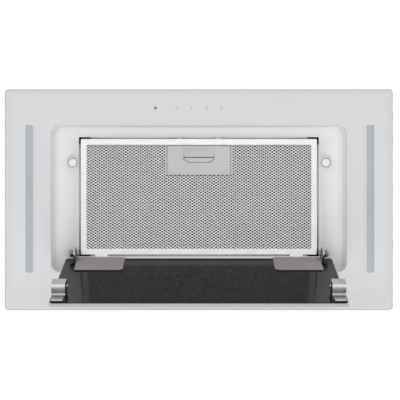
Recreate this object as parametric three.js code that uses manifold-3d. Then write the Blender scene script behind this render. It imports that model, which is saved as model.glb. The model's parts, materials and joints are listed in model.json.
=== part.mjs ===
// Under cabinet range hood, built into the floor of a wall cabinet. Millimetres.
// X runs along the face, -Y is the front with the touch controls, +Y is the hinge side, +Z is up.
// The origin is the middle of the cabinet cut-out, in the plane where the face seats.
// The suction panel hangs open in the model; turning it by -openAngle about its pins closes it.

import * as THREE from 'three';
import { mergeVertices } from 'three/addons/utils/BufferGeometryUtils.js';
import Module from 'manifold-3d';

const wasm = await Module();
wasm.setup();

// Clearances
const fit = 0.3;
const reach = 1; // how far a cutting tool runs past the face it cuts

// Facets round a full circle, and steps round a quarter of one
const largeSides = 24;
const plainSides = 16;
const smallSides = 12;
const mouthSteps = 7;
const cornerSteps = 5;
const edgeSteps = 2;
const scrollSteps = 32;

// Mouth of the recess, which the face, the panel and the filter take their sizes from
const mouthWidth = 396.4;
const mouthDepth = 196.3;
const mouthCorner = 11.5;

// Face: a glass plate bonded under a steel carrier
const sideBorder = 61.8; // glass between the mouth and the edge of the face
const frontBorder = 48.55;
const rearBorder = 51.15;
const faceCorner = 5;
const glassThickness = 4;
const glassChamfer = 1;
const carrierThickness = 2.3;
const carrierInset = 4;
const seatStep = 0.5; // the body stands this far above the seat, on a step of the carrier

// Recess pan behind the mouth
const recessDepth = 28;
const panSheet = 1;
const panFlange = 12;
const wallDraft = 3.6; // degrees
const panLip = 6;
const lipReliefX = 15.4; // open corners between the lips round the filter
const lipReliefY = 10;

// Lamps beside the opening
const lampWidth = 9.8;
const lampLength = 197.4;
const lampMargin = 30.4; // from the mouth to the middle of a lamp
const lampShift = 1.4; // of both lamps toward +X
const lampRecess = 0.6;
const lampFlange = 2;
const housingHeight = 10;
const housingWall = 1;
const boardThickness = 1.6;

// Touch controls
const touchShiftX = -14;
const touchMargin = 23.55; // from the mouth to the middle of the marks
const touchLength = 112;
const touchWidth = 13;
const touchPad = 4;
const touchCount = 5;

// Grease filter
const sideLedge = 36.8; // from the mouth to the filter
const frontLedge = 16.4;
const rearLedge = 22;
const filterHeight = 9;
const filterBar = 7.9;
const filterSheet = 0.8;
const filterGap = 2.6;
const filterCorner = 1.5;
const meshSheet = 0.5;
const meshPitchX = 11.8; // diagonals of one diamond of the mesh
const meshPitchY = 7.7;
const meshStrand = 2.2;
const rearPitch = 30;
const rearStrand = 6;
const tabOffset = 133.5;
const tabWidth = 17.6;
const tabReach = 5;
const tabThickness = 1.2;
const tabLift = 0.4;

// Filter latch
const latchWidth = 86;
const latchDepth = 40.2;
const latchInset = 1.3; // from the inner edge of the filter's front bar
const latchWall = 1.2;
const latchFlange = 3;
const latchCorner = 2.4;
const cupWidth = 42.4;
const cupDepth = 20.2;
const cupInset = 3;
const cupCorner = 2.4;
const cupCutX = 7; // what is cut off its rear corners
const cupCutY = 4.6;
const tongueOffset = 26.5;
const tongueWidth = 8;
const tongueThickness = 1.4;
const tonguePost = 3;
const tongueClear = 2; // left between a drawn tongue and the edge of the pan
const sliderTravel = 6;
const sliderFloor = 1.2;
const lipDepth = 6.6;
const runnerWidth = 2;
const springSheet = 0.5;
const springHalf = 7;
const springFolds = 5;
const springRoom = 9; // length of the spring with the slider drawn

// Pot magnets that hold the panel shut
const magnetRadius = 5.2;
const magnetGroove = 1.1;
const magnetCup = 8.4;
const magnetChamfer = 0.8;
const magnetHeight = 6.3;
const magnetDepth = 3;
const magnetAlong = 7.8; // from the start of the catch below it
const stemRadius = 3;

// Suction panel
const suctionGap = 15.65; // round the shut panel
const panelCorner = 4;
const panelGlass = 4;
const panelChamfer = 0.8;
const panelSheet = 0.7;
const sheetInset = 1.5;
const openAngle = 106; // degrees from closed
const swingGap = 0.7; // between the open panel's upper edge and the floor of the pan

// Panel hinges
const hingeInset = 8.5; // pin centre to the panel's hinge edge
const hingeSheet = 1.5;
const leafWidth = 66.2;
const leafDepth = 50;
const leafCorner = 7;
const earRadius = 6;
const earDepth = 18; // how far the ear of a leaf slopes down along the panel
const earSlant = 30; // degrees, where that slope leaves its round end
const panEarRadius = 6.9;
const pinRadius = 2.5;
const headRadius = 3.8;
const headHeight = 2.9;
const headRound = 1.2;
const driveWidth = 1;
const washerRadius = 5.5;
const washerThickness = 0.8;
const nutRadius = 5.6;
const nutHex = 3.3;
const nutCollar = 4.6;
const nutHeight = 5;
const footReach = 14;

// Catches on the panel
const catchInset = 0.9; // from the panel's side edge
const catchWidth = 17.2;
const catchMargin = 24.4; // from the free edge of the panel
const catchDepth = 16.6;
const catchFoot = 19.4;
const stripSheet = 0.8;
const stripBulge = 2.4;
const catchScrewInset = 4;
const catchScrewRadius = 2.75;
const catchScrewHead = 2;
const catchScrewShank = 1.5;
const catchDrive = 0.7;

// Body above the face
const seatWidth = 16; // of the face, outside the body
const bodyHeight = 215;
const bodySheet = 1;
const bodyCorner = 4;
const bodyFlange = 4;
const fixingLength = 14;
const fixingWidth = 5;
const fixingHeight = 45;
const fixingSpacing = 170;

// Blower
const blowerShift = -36; // of the wheel's axis from the middle
const blowerHeight = 128; // of the wheel's axis above the seat
const scrollWidth = 112;
const scrollSheet = 1;
const scrollStart = 72;
const scrollEnd = 100;
const scrollSweep = 290; // degrees
const inletRadius = 52;
const inletRoll = 5;
const wheelRadius = 65;
const wheelWidth = 96;
const bladeCount = 28;
const bladeDepth = 12;
const bladeSheet = 1.2;
const bladeSweep = 8; // degrees
const bladeLead = 1.5; // degrees, keeps each blade inside one facet of the rims
const rimWidth = 3;
const hubRadius = 11;
const hubFront = 6.6;
const hubDisc = 2;
const shaftRadius = 4;
const shaftEnd = 3;
const motorRadius = 36;
const motorCorner = 6;
const motorGap = 2; // between the hub and the motor
const motorRib = 11; // length of each cooling rib
const motorGroove = 2;
const bracketSheet = 2;
const bracketArm = 14;
const bracketLap = 7;
const capacitorRadius = 16;
const capacitorLength = 58;
const tagLength = 8;
const tagWidth = 6;
const tagSheet = 0.8;
const tagPitch = 10;

// Outlet collar and its non-return flaps
const collarRadius = 75;
const collarWall = 1.5;
const collarHeight = 45;
const collarBase = 178;
const collarCorner = 10;
const collarBead = 1.5;
const collarFoot = 3; // how far its foot stands out over the plate
const flapLift = 9; // pin centre above the collar's base
const flapSheet = 1;
const flapGap = 1.5;
const damperPin = 1.5;
const knuckleRadius = 3;
const knuckleLength = 24;

// Control box
const controlWidth = 52;
const controlDepth = 120;
const controlHeight = 44;
const controlLift = 70;
const controlCorner = 4;
const controlChamfer = 2;
const glandRadius = 11;
const glandNeck = 8.2;
const glandBore = 4;
const glandHeight = 12;
const glandInset = 50;

// Sizes and places worked out from the ones above
const faceWidth = mouthWidth + 2 * sideBorder;
const faceDepth = mouthDepth + frontBorder + rearBorder;
const mouthShift = (frontBorder - rearBorder) / 2;
const mouthFront = mouthShift - mouthDepth / 2;
const bodyWidth = faceWidth - 2 * seatWidth;
const bodyDepth = faceDepth - 2 * seatWidth;
const filterWidth = mouthWidth - 2 * sideLedge;
const filterDepth = mouthDepth - frontLedge - rearLedge;
const filterShift = mouthShift + (frontLedge - rearLedge) / 2;
const lampOffset = mouthWidth / 2 + lampMargin;
const touchShiftY = mouthFront - touchMargin;
const glassBack = -carrierThickness;
const faceZ = glassBack - glassThickness;
const floorZ = faceZ + recessDepth;
const floorTop = floorZ + panSheet;
const panelWidth = mouthWidth - 2 * suctionGap;
const panelDepth = mouthDepth - 2 * suctionGap;
const panelStack = panelGlass + fit + panelSheet;
const panelEdge = mouthShift + panelDepth / 2; // the edge beside the hinges
const pivotY = panelEdge - hingeInset;
const openTurn = THREE.MathUtils.degToRad(openAngle);
const swing = new THREE.Vector2(Math.cos(openTurn), Math.sin(openTurn));
// The pin lies this far below the floor, and above the panel's inner face
const hingeDrop = (hingeInset * swing.y - recessDepth * swing.x + swingGap) / (1 - swing.x);
const hingeRise = recessDepth - panelStack - hingeDrop;
const pivotZ = floorZ - hingeDrop;
const openingWidth = filterWidth + 2 * filterGap;
const openingDepth = filterDepth + 2 * filterGap;
const filterFront = filterShift - filterDepth / 2;
const filterRear = filterShift + filterDepth / 2;
const meshZ = floorZ + filterSheet;
const filterTop = floorZ + filterHeight;
const hingeX = openingWidth / 2 + panSheet + fit; // inner face of the ear on the panel
const earX = hingeX + hingeSheet + fit + washerThickness; // inner face of the ear on the pan
const leafEdge = hingeX + hingeSheet - leafWidth;
const catchOuter = panelWidth / 2 - catchInset;
const catchStart = panelDepth - catchMargin - catchDepth; // from the hinge edge of the panel
const catchInner = catchOuter - catchWidth;
const magnetOffset = catchOuter - catchWidth / 2;
const magnetShift = panelEdge - catchStart - magnetAlong;
const bodyInner = bodyWidth / 2 - bodySheet;
const bodyRoof = bodyHeight - bodySheet;
const tongueAngle = THREE.MathUtils.degToRad(scrollSweep);
const throatInner = scrollStart * Math.cos(tongueAngle);
const throatMiddle = blowerShift + (throatInner + scrollEnd) / 2;
const throatDepth = scrollEnd - throatInner;
const collarFloor = bodyHeight + collarWall;
const flapZ = collarFloor + flapLift;

// Finishes
const finish = (color, roughness, metalness) => (
  new THREE.MeshStandardMaterial({ color, roughness, metalness })
);
const whiteGlass = finish('#dcdde0', 0.08, 0);
const whitePaint = finish('#e2e2e2', 0.35, 0);
const frosted = finish('#b6b9be', 0.6, 0);
const zincSteel = finish('#b9bcc0', 0.4, 0.9);
const aluminium = finish('#ecebea', 0.35, 0.9);
const stainless = finish('#c9c6c2', 0.25, 1);
const darkGloss = finish('#1f1c1b', 0.08, 0);
const leafPaint = finish('#8b8682', 0.4, 0.6);
const blackPlastic = finish('#1b1b1c', 0.5, 0);
const greyPlastic = finish('#c4c2c3', 0.45, 0);
const whitePlastic = finish('#e8e6e2', 0.4, 0);
const circuitBoard = finish('#e9ebe6', 0.5, 0);
const castGrey = finish('#8f9295', 0.5, 0.8);

// Solids -------------------------------------------------------------------

function solidOf(geometry) {
  const bare = geometry.index ? geometry.toNonIndexed() : geometry.clone();
  bare.deleteAttribute('normal');
  bare.deleteAttribute('uv');
  const merged = mergeVertices(bare, 1e-4);
  const vertProperties = merged.attributes.position.array;
  const triVerts = new Uint32Array(merged.index.array);
  return new wasm.Manifold(new wasm.Mesh({ numProp: 3, vertProperties, triVerts }));
}

function geometryOf(solid) {
  const mesh = solid.getMesh();
  const geometry = new THREE.BufferGeometry();
  geometry.setAttribute('position', new THREE.BufferAttribute(new Float32Array(mesh.vertProperties), 3));
  geometry.setIndex(new THREE.BufferAttribute(new Uint32Array(mesh.triVerts), 1));
  return geometry;
}

const joined = (...solids) => solids.reduce((whole, piece) => whole.add(piece));
const cut = (base, ...tools) => tools.reduce((whole, tool) => whole.subtract(tool), base);

function block(x0, x1, y0, y1, z0, z1) {
  const geometry = new THREE.BoxGeometry(x1 - x0, y1 - y0, z1 - z0);
  return solidOf(geometry.translate((x0 + x1) / 2, (y0 + y1) / 2, (z0 + z1) / 2));
}

// Points of a rectangle with round corners, anticlockwise
function rounded(width, depth, radius, shiftX = 0, shiftY = 0, steps = cornerSteps) {
  const points = [];
  const corners = [[1, 1], [-1, 1], [-1, -1], [1, -1]];
  corners.forEach(([sideX, sideY], quarter) => {
    for (let step = 0; step <= steps; step++) {
      const angle = (quarter + step / steps) * Math.PI / 2;
      points.push(new THREE.Vector2(
        shiftX + sideX * (width / 2 - radius) + radius * Math.cos(angle),
        shiftY + sideY * (depth / 2 - radius) + radius * Math.sin(angle),
      ));
    }
  });
  return points;
}

function plate(points, z0, z1) {
  const shape = new THREE.Shape(points);
  const geometry = new THREE.ExtrudeGeometry(shape, { depth: z1 - z0, bevelEnabled: false });
  return solidOf(geometry.translate(0, 0, z0));
}

// An outline given in Y and Z, extruded from x0 to x1
function slab(points, x0, x1) {
  const basis = new THREE.Matrix4().makeBasis(
    new THREE.Vector3(0, 1, 0),
    new THREE.Vector3(0, 0, 1),
    new THREE.Vector3(1, 0, 0),
  );
  const shape = new THREE.Shape(points);
  const geometry = new THREE.ExtrudeGeometry(shape, { depth: x1 - x0, bevelEnabled: false });
  return solidOf(geometry.applyMatrix4(basis).translate(x0, 0, 0));
}

// A closed skin through outlines that have the same number of points, from low Z to high Z
function loft(sections) {
  const count = sections[0].points.length;
  const positions = [];
  const put = (section, index) => {
    const point = section.points[(index + count) % count];
    positions.push(point.x, point.y, section.z);
  };
  for (let level = 0; level + 1 < sections.length; level++) {
    const low = sections[level];
    const high = sections[level + 1];
    for (let index = 0; index < count; index++) {
      [[low, index], [low, index + 1], [high, index + 1]].forEach((corner) => put(...corner));
      [[low, index], [high, index + 1], [high, index]].forEach((corner) => put(...corner));
    }
  }
  const last = sections[sections.length - 1];
  THREE.ShapeUtils.triangulateShape(sections[0].points, []).forEach(([a, b, c]) => {
    [a, c, b].forEach((index) => put(sections[0], index));
  });
  THREE.ShapeUtils.triangulateShape(last.points, []).forEach((face) => {
    face.forEach((index) => put(last, index));
  });
  const geometry = new THREE.BufferGeometry();
  geometry.setAttribute('position', new THREE.Float32BufferAttribute(positions, 3));
  return solidOf(geometry);
}

function rodZ(radius, x, y, z0, z1, sides = largeSides) {
  const geometry = new THREE.CylinderGeometry(radius, radius, z1 - z0, sides).rotateX(Math.PI / 2);
  return solidOf(geometry.translate(x, y, (z0 + z1) / 2));
}

function rodX(radius, x0, x1, y, z, sides = largeSides) {
  const geometry = new THREE.CylinderGeometry(radius, radius, x1 - x0, sides).rotateZ(Math.PI / 2);
  return solidOf(geometry.translate((x0 + x1) / 2, y, z));
}

// A revolved profile of [radius, height] pairs about a vertical axis
function turned(profile, sides = largeSides) {
  const points = profile.map(([radius, height]) => new THREE.Vector2(radius, height));
  return solidOf(new THREE.LatheGeometry(points, sides).rotateX(Math.PI / 2));
}

// The same, about a horizontal axis along X
function turnedX(profile, sides = largeSides) {
  const points = profile.map(([radius, height]) => new THREE.Vector2(radius, height));
  return solidOf(new THREE.LatheGeometry(points, sides).rotateZ(-Math.PI / 2));
}

// The outline of a sheet of even thickness that follows a line, with the sheet on its left
function ribbon(line, thickness) {
  const offset = line.map((point, index) => {
    const before = line[Math.max(index - 1, 0)];
    const after = line[Math.min(index + 1, line.length - 1)];
    const back = point.clone().sub(before);
    const ahead = after.clone().sub(point);
    const along = back.normalize().add(ahead.normalize()).normalize();
    const leading = index > 0 ? back : ahead;
    const normal = new THREE.Vector2(-along.y, along.x);
    const stretch = new THREE.Vector2(-leading.y, leading.x).dot(normal);
    return point.clone().addScaledVector(normal, thickness / stretch);
  });
  return [...line, ...offset.reverse()];
}

function arc(centreX, centreY, radius, from, to, steps) {
  return Array.from({ length: steps + 1 }, (_, step) => {
    const angle = THREE.MathUtils.degToRad(from + (to - from) * step / steps);
    return new THREE.Vector2(centreX + radius * Math.cos(angle), centreY + radius * Math.sin(angle));
  });
}

const mirrored = (solid) => solid.mirror([1, 0, 0]);

// Assembly -----------------------------------------------------------------

const hood = new THREE.Group();

function place(name, solid, material, group = hood) {
  const mesh = new THREE.Mesh(geometryOf(solid), material);
  mesh.name = name;
  group.add(mesh);
}

// A piece and its mirror image on the other side of the hood
function placePair(name, solid, material, group = hood) {
  place(`${name}_right`, solid, material, group);
  place(`${name}_left`, mirrored(solid), material, group);
}

// Face -----------------------------------------------------------------------

const lampSlot = (grow, z0, z1) => block(
  lampOffset - lampWidth / 2 - grow,
  lampOffset + lampWidth / 2 + grow,
  mouthShift - lampLength / 2 - grow,
  mouthShift + lampLength / 2 + grow,
  z0,
  z1,
);

const lampPair = (solid) => [solid, mirrored(solid)].map((lamp) => lamp.translate([lampShift, 0, 0]));

function placeLamps(name, solid, material) {
  const [right, left] = lampPair(solid);
  place(`${name}_right`, right, material);
  place(`${name}_left`, left, material);
}

function faceGlass() {
  const edge = rounded(faceWidth, faceDepth, faceCorner);
  const chamfer = 2 * glassChamfer;
  const front = rounded(faceWidth - chamfer, faceDepth - chamfer, faceCorner - glassChamfer);
  const pane = loft([
    { points: front, z: faceZ },
    { points: edge, z: faceZ + glassChamfer },
    { points: edge, z: glassBack },
  ]);
  const outline = rounded(mouthWidth, mouthDepth, mouthCorner, 0, mouthShift, mouthSteps);
  const mouth = plate(outline, faceZ - reach, glassBack + reach);
  return cut(pane, mouth, ...lampPair(lampSlot(0, faceZ - reach, glassBack + reach)));
}

const housingGrow = lampFlange + fit + housingWall;

function faceCarrier() {
  const width = faceWidth - 2 * carrierInset;
  const depth = faceDepth - 2 * carrierInset;
  const sheet = plate(rounded(width, depth, faceCorner), glassBack, 0);
  const step = plate(rounded(bodyWidth + 2 * fit, bodyDepth + 2 * fit, bodyCorner), glassBack, seatStep);
  const seat = 2 * (panFlange + fit);
  const pocket = plate(
    rounded(mouthWidth + seat, mouthDepth + seat, mouthCorner + panFlange, 0, mouthShift),
    glassBack - reach,
    glassBack + panSheet,
  );
  const wall = 2 * (panSheet + fit);
  const hole = plate(
    rounded(mouthWidth + wall, mouthDepth + wall, mouthCorner + panSheet, 0, mouthShift, mouthSteps),
    glassBack - reach,
    reach,
  );
  const lamps = lampPair(lampSlot(housingGrow + fit, glassBack - reach, reach));
  const touch = block(
    touchShiftX - touchLength / 2 - fit,
    touchShiftX + touchLength / 2 + fit,
    touchShiftY - touchWidth / 2 - fit,
    touchShiftY + touchWidth / 2 + fit,
    glassBack - reach,
    reach,
  );
  return cut(joined(sheet, step), pocket, hole, ...lamps, touch);
}

// Recess pan -------------------------------------------------------------------

function mouthAt(z, grow) {
  const taper = (z - glassBack) * Math.tan(THREE.MathUtils.degToRad(wallDraft));
  const width = mouthWidth + 2 * (grow - taper);
  const depth = mouthDepth + 2 * (grow - taper);
  return rounded(width, depth, mouthCorner + grow - taper, 0, mouthShift, mouthSteps);
}

function earSlot() {
  const half = panEarRadius + fit;
  return block(
    earX - fit,
    earX + hingeSheet + fit,
    pivotY - half,
    pivotY + half,
    floorZ - reach,
    floorTop + reach,
  );
}

// Lips turned up round the filter, open at the corners and where tabs and tongues pass
function filterLips() {
  const [width, depth] = [openingWidth / 2, openingDepth / 2];
  const top = floorTop + panLip;
  const side = block(width, width + panSheet, lipReliefY - depth, depth - lipReliefY, floorZ, top);
  const length = width - lipReliefX;
  const ends = block(-length, length, -depth - panSheet, depth + panSheet, floorZ, top);
  const middle = block(-width, width, -depth, depth, floorZ - reach, top + reach);
  const gate = (offset, size, y0, y1) => block(
    offset - size / 2 - fit,
    offset + size / 2 + fit,
    y0,
    y1,
    floorTop,
    top + reach,
  );
  const tab = gate(tabOffset, tabWidth, 0, depth + panSheet + reach);
  const tongue = gate(tongueOffset, tongueWidth, -depth - panSheet - reach, 0);
  const rows = cut(ends, middle, tab, mirrored(tab), tongue, mirrored(tongue));
  return joined(rows, side, mirrored(side)).translate([0, filterShift, 0]);
}

function recessPan() {
  const outside = loft([
    { points: mouthAt(glassBack, panSheet), z: glassBack },
    { points: mouthAt(floorTop, panSheet), z: floorTop },
  ]);
  const flange = plate(
    rounded(mouthWidth + 2 * panFlange, mouthDepth + 2 * panFlange, mouthCorner + panFlange, 0, mouthShift),
    glassBack,
    glassBack + panSheet,
  );
  const inside = loft([
    { points: mouthAt(glassBack - reach, 0), z: glassBack - reach },
    { points: mouthAt(floorZ, 0), z: floorZ },
  ]);
  const opening = plate(
    rounded(openingWidth, openingDepth, filterCorner + filterGap, 0, filterShift),
    floorZ - reach,
    floorTop + panLip + reach,
  );
  const stem = rodZ(stemRadius + fit, magnetOffset, magnetShift, floorZ - reach, floorTop + reach);
  const slot = earSlot();
  return cut(
    joined(cut(joined(outside, flange), inside), filterLips()),
    opening,
    slot,
    mirrored(slot),
    stem,
    mirrored(stem),
  );
}

// Ear that stands on the hidden side of the pan floor and comes through its slot
function hingeEar() {
  const top = floorTop + hingeSheet;
  const outline = [
    new THREE.Vector2(pivotY - panEarRadius, top),
    ...arc(pivotY, pivotZ, panEarRadius, 180, 360, smallSides),
    new THREE.Vector2(pivotY + panEarRadius, top),
  ];
  const ear = slab(outline, earX, earX + hingeSheet);
  const foot = block(
    earX,
    earX + hingeSheet + footReach,
    pivotY - panEarRadius,
    pivotY + panEarRadius,
    floorTop,
    top,
  );
  const bore = rodX(pinRadius + fit, earX - reach, earX + hingeSheet + reach, pivotY, pivotZ);
  return cut(joined(ear, foot), bore);
}

function hingeWasher() {
  const outer = rodX(washerRadius, earX - washerThickness, earX, pivotY, pivotZ, plainSides);
  const start = earX - washerThickness;
  const bore = rodX(pinRadius + fit, start - reach, earX + reach, pivotY, pivotZ, smallSides);
  return cut(outer, bore);
}

// Cross recess of a screw whose head faces -X
function crossDrive(face, depth, length, width) {
  const bar = block(face - reach, face + depth, -length / 2, length / 2, -width / 2, width / 2);
  return joined(bar, bar.rotate([90, 0, 0]));
}

function hingeScrew() {
  const headEnd = hingeX - fit;
  const tip = earX + hingeSheet + nutHeight + reach;
  const profile = [
    [0, headEnd - headHeight],
    [headRadius - headRound, headEnd - headHeight],
    [headRadius, headEnd - headHeight + headRound],
    [headRadius, headEnd],
    [pinRadius, headEnd],
    [pinRadius, tip],
    [0, tip],
  ];
  const drive = crossDrive(headEnd - headHeight, headHeight / 2, headRadius, driveWidth);
  return cut(turnedX(profile, smallSides), drive).translate([0, pivotY, pivotZ]);
}

function hingeNut() {
  const start = earX + hingeSheet;
  const hex = rodX(nutRadius, start, start + nutHex, pivotY, pivotZ, 6);
  const collar = rodX(nutCollar, start, start + nutHeight, pivotY, pivotZ, plainSides);
  const bore = rodX(pinRadius + fit, start - reach, start + nutHeight + reach, pivotY, pivotZ, smallSides);
  return cut(joined(hex, collar), bore);
}

function magnetHolder() {
  const face = floorZ - magnetHeight;
  const seat = face + magnetDepth;
  const profile = [
    [0, seat],
    [magnetRadius + magnetGroove, seat],
    [magnetRadius + magnetGroove, face],
    [magnetCup - magnetChamfer, face],
    [magnetCup, face + magnetChamfer],
    [magnetCup, floorZ],
    [stemRadius, floorZ],
    [stemRadius, floorTop + panSheet],
    [0, floorTop + panSheet],
  ];
  return turned(profile, largeSides).translate([magnetOffset, magnetShift, 0]);
}

const magnetDisc = () => rodZ(
  magnetRadius,
  magnetOffset,
  magnetShift,
  floorZ - magnetHeight,
  floorZ - magnetHeight + magnetDepth,
  largeSides,
);

// Lamps and touch board ---------------------------------------------------------

function lampCover() {
  return joined(
    lampSlot(-fit, faceZ + lampRecess, glassBack + reach),
    lampSlot(lampFlange, glassBack, glassBack + reach),
  );
}

function lampHousing() {
  const floor = glassBack;
  const roof = floor + housingHeight;
  return cut(
    lampSlot(housingGrow, floor, roof),
    lampSlot(housingGrow - housingWall, floor - reach, roof - housingWall),
  );
}

function lampBoard() {
  const roof = glassBack + housingHeight - housingWall;
  return lampSlot(-fit, roof - boardThickness, roof);
}

function touchBoard() {
  const pads = Array.from({ length: touchCount }, (_, index) => rodZ(
    touchPad,
    touchShiftX + (index - (touchCount - 1) / 2) * touchLength / touchCount,
    touchShiftY,
    glassBack,
    glassBack + boardThickness,
    smallSides,
  ));
  const board = block(
    touchShiftX - touchLength / 2,
    touchShiftX + touchLength / 2,
    touchShiftY - touchWidth / 2,
    touchShiftY + touchWidth / 2,
    glassBack + boardThickness / 2,
    glassBack + boardThickness,
  );
  return joined(board, ...pads);
}

// Grease filter -------------------------------------------------------------------

const latchFront = filterFront + filterBar + latchInset;
const latchRear = latchFront + latchDepth;
const cupFront = latchFront + cupInset;
const rearMeshZ = filterTop - 2 * filterSheet;
const latchTop = rearMeshZ - fit;
const tongueZ = meshZ + filterSheet + fit;
const sliderFront = latchFront + latchWall + fit;
const sliderRear = latchRear - latchWall - springRoom - sliderTravel;
const cupFloorZ = latchTop - latchWall - sliderFloor - fit;

const filterBlock = (inset, z0, z1) => plate(
  rounded(filterWidth - 2 * inset, filterDepth - 2 * inset, filterCorner, 0, filterShift, edgeSteps),
  z0,
  z1,
);

const tongueSlot = (side) => block(
  side * tongueOffset - tongueWidth / 2 - fit,
  side * tongueOffset + tongueWidth / 2 + fit,
  filterFront - reach,
  filterFront + filterBar + latchInset + reach + latchWall,
  tongueZ - fit,
  tongueZ + tongueThickness + fit,
);

function filterFrame() {
  const bar = filterBlock(0, floorZ, filterTop);
  const window = filterBlock(filterBar, floorZ - reach, filterTop + reach);
  const channel = filterBlock(filterSheet, meshZ, filterTop - filterSheet);
  const low = floorTop + tabLift;
  const tab = block(
    tabOffset - tabWidth / 2,
    tabOffset + tabWidth / 2,
    filterRear - filterSheet,
    filterRear + filterGap + tabReach,
    low,
    low + tabThickness,
  );
  return cut(joined(cut(bar, window, channel), tab, mirrored(tab)), tongueSlot(1), tongueSlot(-1));
}

// Room that the latch housing takes out of a sheet inside the filter
const latchRoom = (z0, z1) => block(
  -latchWidth / 2 - latchFlange - fit,
  latchWidth / 2 + latchFlange + fit,
  filterFront - reach,
  latchRear + latchFlange + fit,
  z0,
  z1,
);

// A sheet with slanted slots across the window of the filter, all at one angle
function slottedSheet(z0, z1, pitch, slope, strand) {
  const sheet = filterBlock(filterSheet + fit, z0, z1);
  const window = filterBlock(filterBar - filterSheet, z0 - reach, z1 + reach);
  const along = new THREE.Vector2(1, slope).normalize();
  const step = pitch * Math.abs(along.y);
  const length = filterWidth + filterDepth;
  const half = Math.ceil(length / step / 2);
  const slots = [];
  for (let index = -half; index <= half; index++) {
    const slot = block(-length, length, -(step - strand) / 2, (step - strand) / 2, z0 - reach, z1 + reach);
    const angle = THREE.MathUtils.radToDeg(Math.atan2(along.y, along.x));
    slots.push(slot.rotate([0, 0, angle]).translate([index * pitch, filterShift, 0]));
  }
  return cut(sheet, wasm.Manifold.union(slots).intersect(window));
}

const meshSlope = meshPitchY / meshPitchX;

function frontMesh(layer) {
  const z0 = meshZ + layer * meshSheet;
  const z1 = z0 + meshSheet;
  const slope = layer === 0 ? meshSlope : -meshSlope;
  const sheet = slottedSheet(z0, z1, meshPitchX, slope, meshStrand);
  return cut(sheet, latchRoom(z0 - reach, z1 + reach));
}

function rearMesh() {
  return slottedSheet(rearMeshZ, rearMeshZ + filterSheet, rearPitch, meshSlope, rearStrand);
}

const padZ = meshZ + 2 * meshSheet;

function filterPad() {
  const pad = filterBlock(filterSheet + fit, padZ, rearMeshZ);
  return cut(pad, latchRoom(padZ - reach, rearMeshZ + reach));
}

// Finger cup: round corners at the front, cut off at the rear
function cupOutline(inset) {
  const half = cupWidth / 2 - inset;
  const front = cupFront + inset;
  const rear = cupFront + cupDepth - inset;
  const round = cupCorner - inset;
  return [
    ...arc(round - half, front + round, round, 180, 270, cornerSteps),
    ...arc(half - round, front + round, round, 270, 360, cornerSteps),
    new THREE.Vector2(half, rear - cupCutY),
    new THREE.Vector2(half - cupCutX, rear),
    new THREE.Vector2(cupCutX - half, rear),
    new THREE.Vector2(-half, rear - cupCutY),
  ];
}

function latchPlate() {
  const middle = (latchFront + latchRear) / 2;
  const shell = plate(rounded(latchWidth, latchDepth, latchCorner, 0, middle, edgeSteps), floorZ, latchTop);
  const flange = block(
    -latchWidth / 2 - latchFlange,
    latchWidth / 2 + latchFlange,
    filterFront + filterSheet + fit,
    latchRear + latchFlange,
    meshZ,
    meshZ + filterSheet,
  );
  const inner = latchWidth / 2 - latchWall;
  const cavity = block(
    -inner,
    inner,
    latchFront + latchWall,
    latchRear - latchWall,
    meshZ + filterSheet,
    filterTop,
  );
  const cup = plate(cupOutline(0), floorZ - reach, meshZ + filterSheet + reach);
  return cut(joined(shell, flange), cavity, cup, tongueSlot(1), tongueSlot(-1));
}

function latchSlider() {
  const half = latchWidth / 2 - latchWall - fit;
  const floor = block(-half, half, sliderFront, sliderRear, cupFloorZ, cupFloorZ + sliderFloor);
  const lipZ = meshZ + filterSheet + fit;
  const lipRear = cupFront + cupDepth - fit;
  const lip = plate(cupOutline(fit), lipZ, cupFloorZ + sliderFloor).intersect(
    block(-cupWidth, cupWidth, lipRear - lipDepth, lipRear, lipZ, cupFloorZ + sliderFloor),
  );
  const tip = filterFront - filterGap - sliderTravel + tongueClear;
  const tongues = [1, -1].map((side) => {
    const middle = side * tongueOffset;
    const bar = block(
      middle - tongueWidth / 2,
      middle + tongueWidth / 2,
      tip,
      sliderFront + tonguePost,
      tongueZ,
      tongueZ + tongueThickness,
    );
    const post = block(
      middle - tongueWidth / 2,
      middle + tongueWidth / 2,
      sliderFront,
      sliderFront + tonguePost,
      tongueZ,
      cupFloorZ + sliderFloor,
    );
    return joined(bar, post);
  });
  const runners = [1, -1].map((side) => block(
    side > 0 ? half - runnerWidth : -half,
    side > 0 ? half : -half + runnerWidth,
    sliderFront,
    sliderRear,
    meshZ + filterSheet + fit,
    cupFloorZ + sliderFloor,
  ));
  return joined(floor, lip, ...tongues, ...runners);
}

// Flat spring folded to and fro behind the slider
function latchSpring() {
  const start = sliderRear + fit + springSheet;
  const end = latchRear - latchWall - springSheet;
  const line = [];
  for (let fold = 0; fold <= springFolds; fold++) {
    const side = fold % 2 ? 1 : -1;
    const y = start + (end - start) * fold / springFolds;
    line.push(new THREE.Vector2(-side * springHalf, y), new THREE.Vector2(side * springHalf, y));
  }
  return plate(ribbon(line, springSheet), cupFloorZ, cupFloorZ + sliderFloor);
}

// Suction panel -------------------------------------------------------------------
// Drawn closed, with the pin centre at the group's origin: Y falls from the hinge edge, Z rises inwards.

const alongPanel = (distance) => hingeInset - distance;
const abovePanel = (height) => height - hingeRise;

const panelOutline = (inset) => rounded(
  panelWidth - 2 * inset,
  panelDepth - 2 * inset,
  panelCorner,
  0,
  alongPanel(panelDepth / 2),
);

function panelPane() {
  return loft([
    { points: panelOutline(panelChamfer), z: abovePanel(-panelStack) },
    { points: panelOutline(0), z: abovePanel(-panelStack + panelChamfer) },
    { points: panelOutline(0), z: abovePanel(-panelSheet - fit) },
  ]);
}

const panelLining = () => plate(panelOutline(sheetInset), abovePanel(-panelSheet), abovePanel(0));

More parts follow.
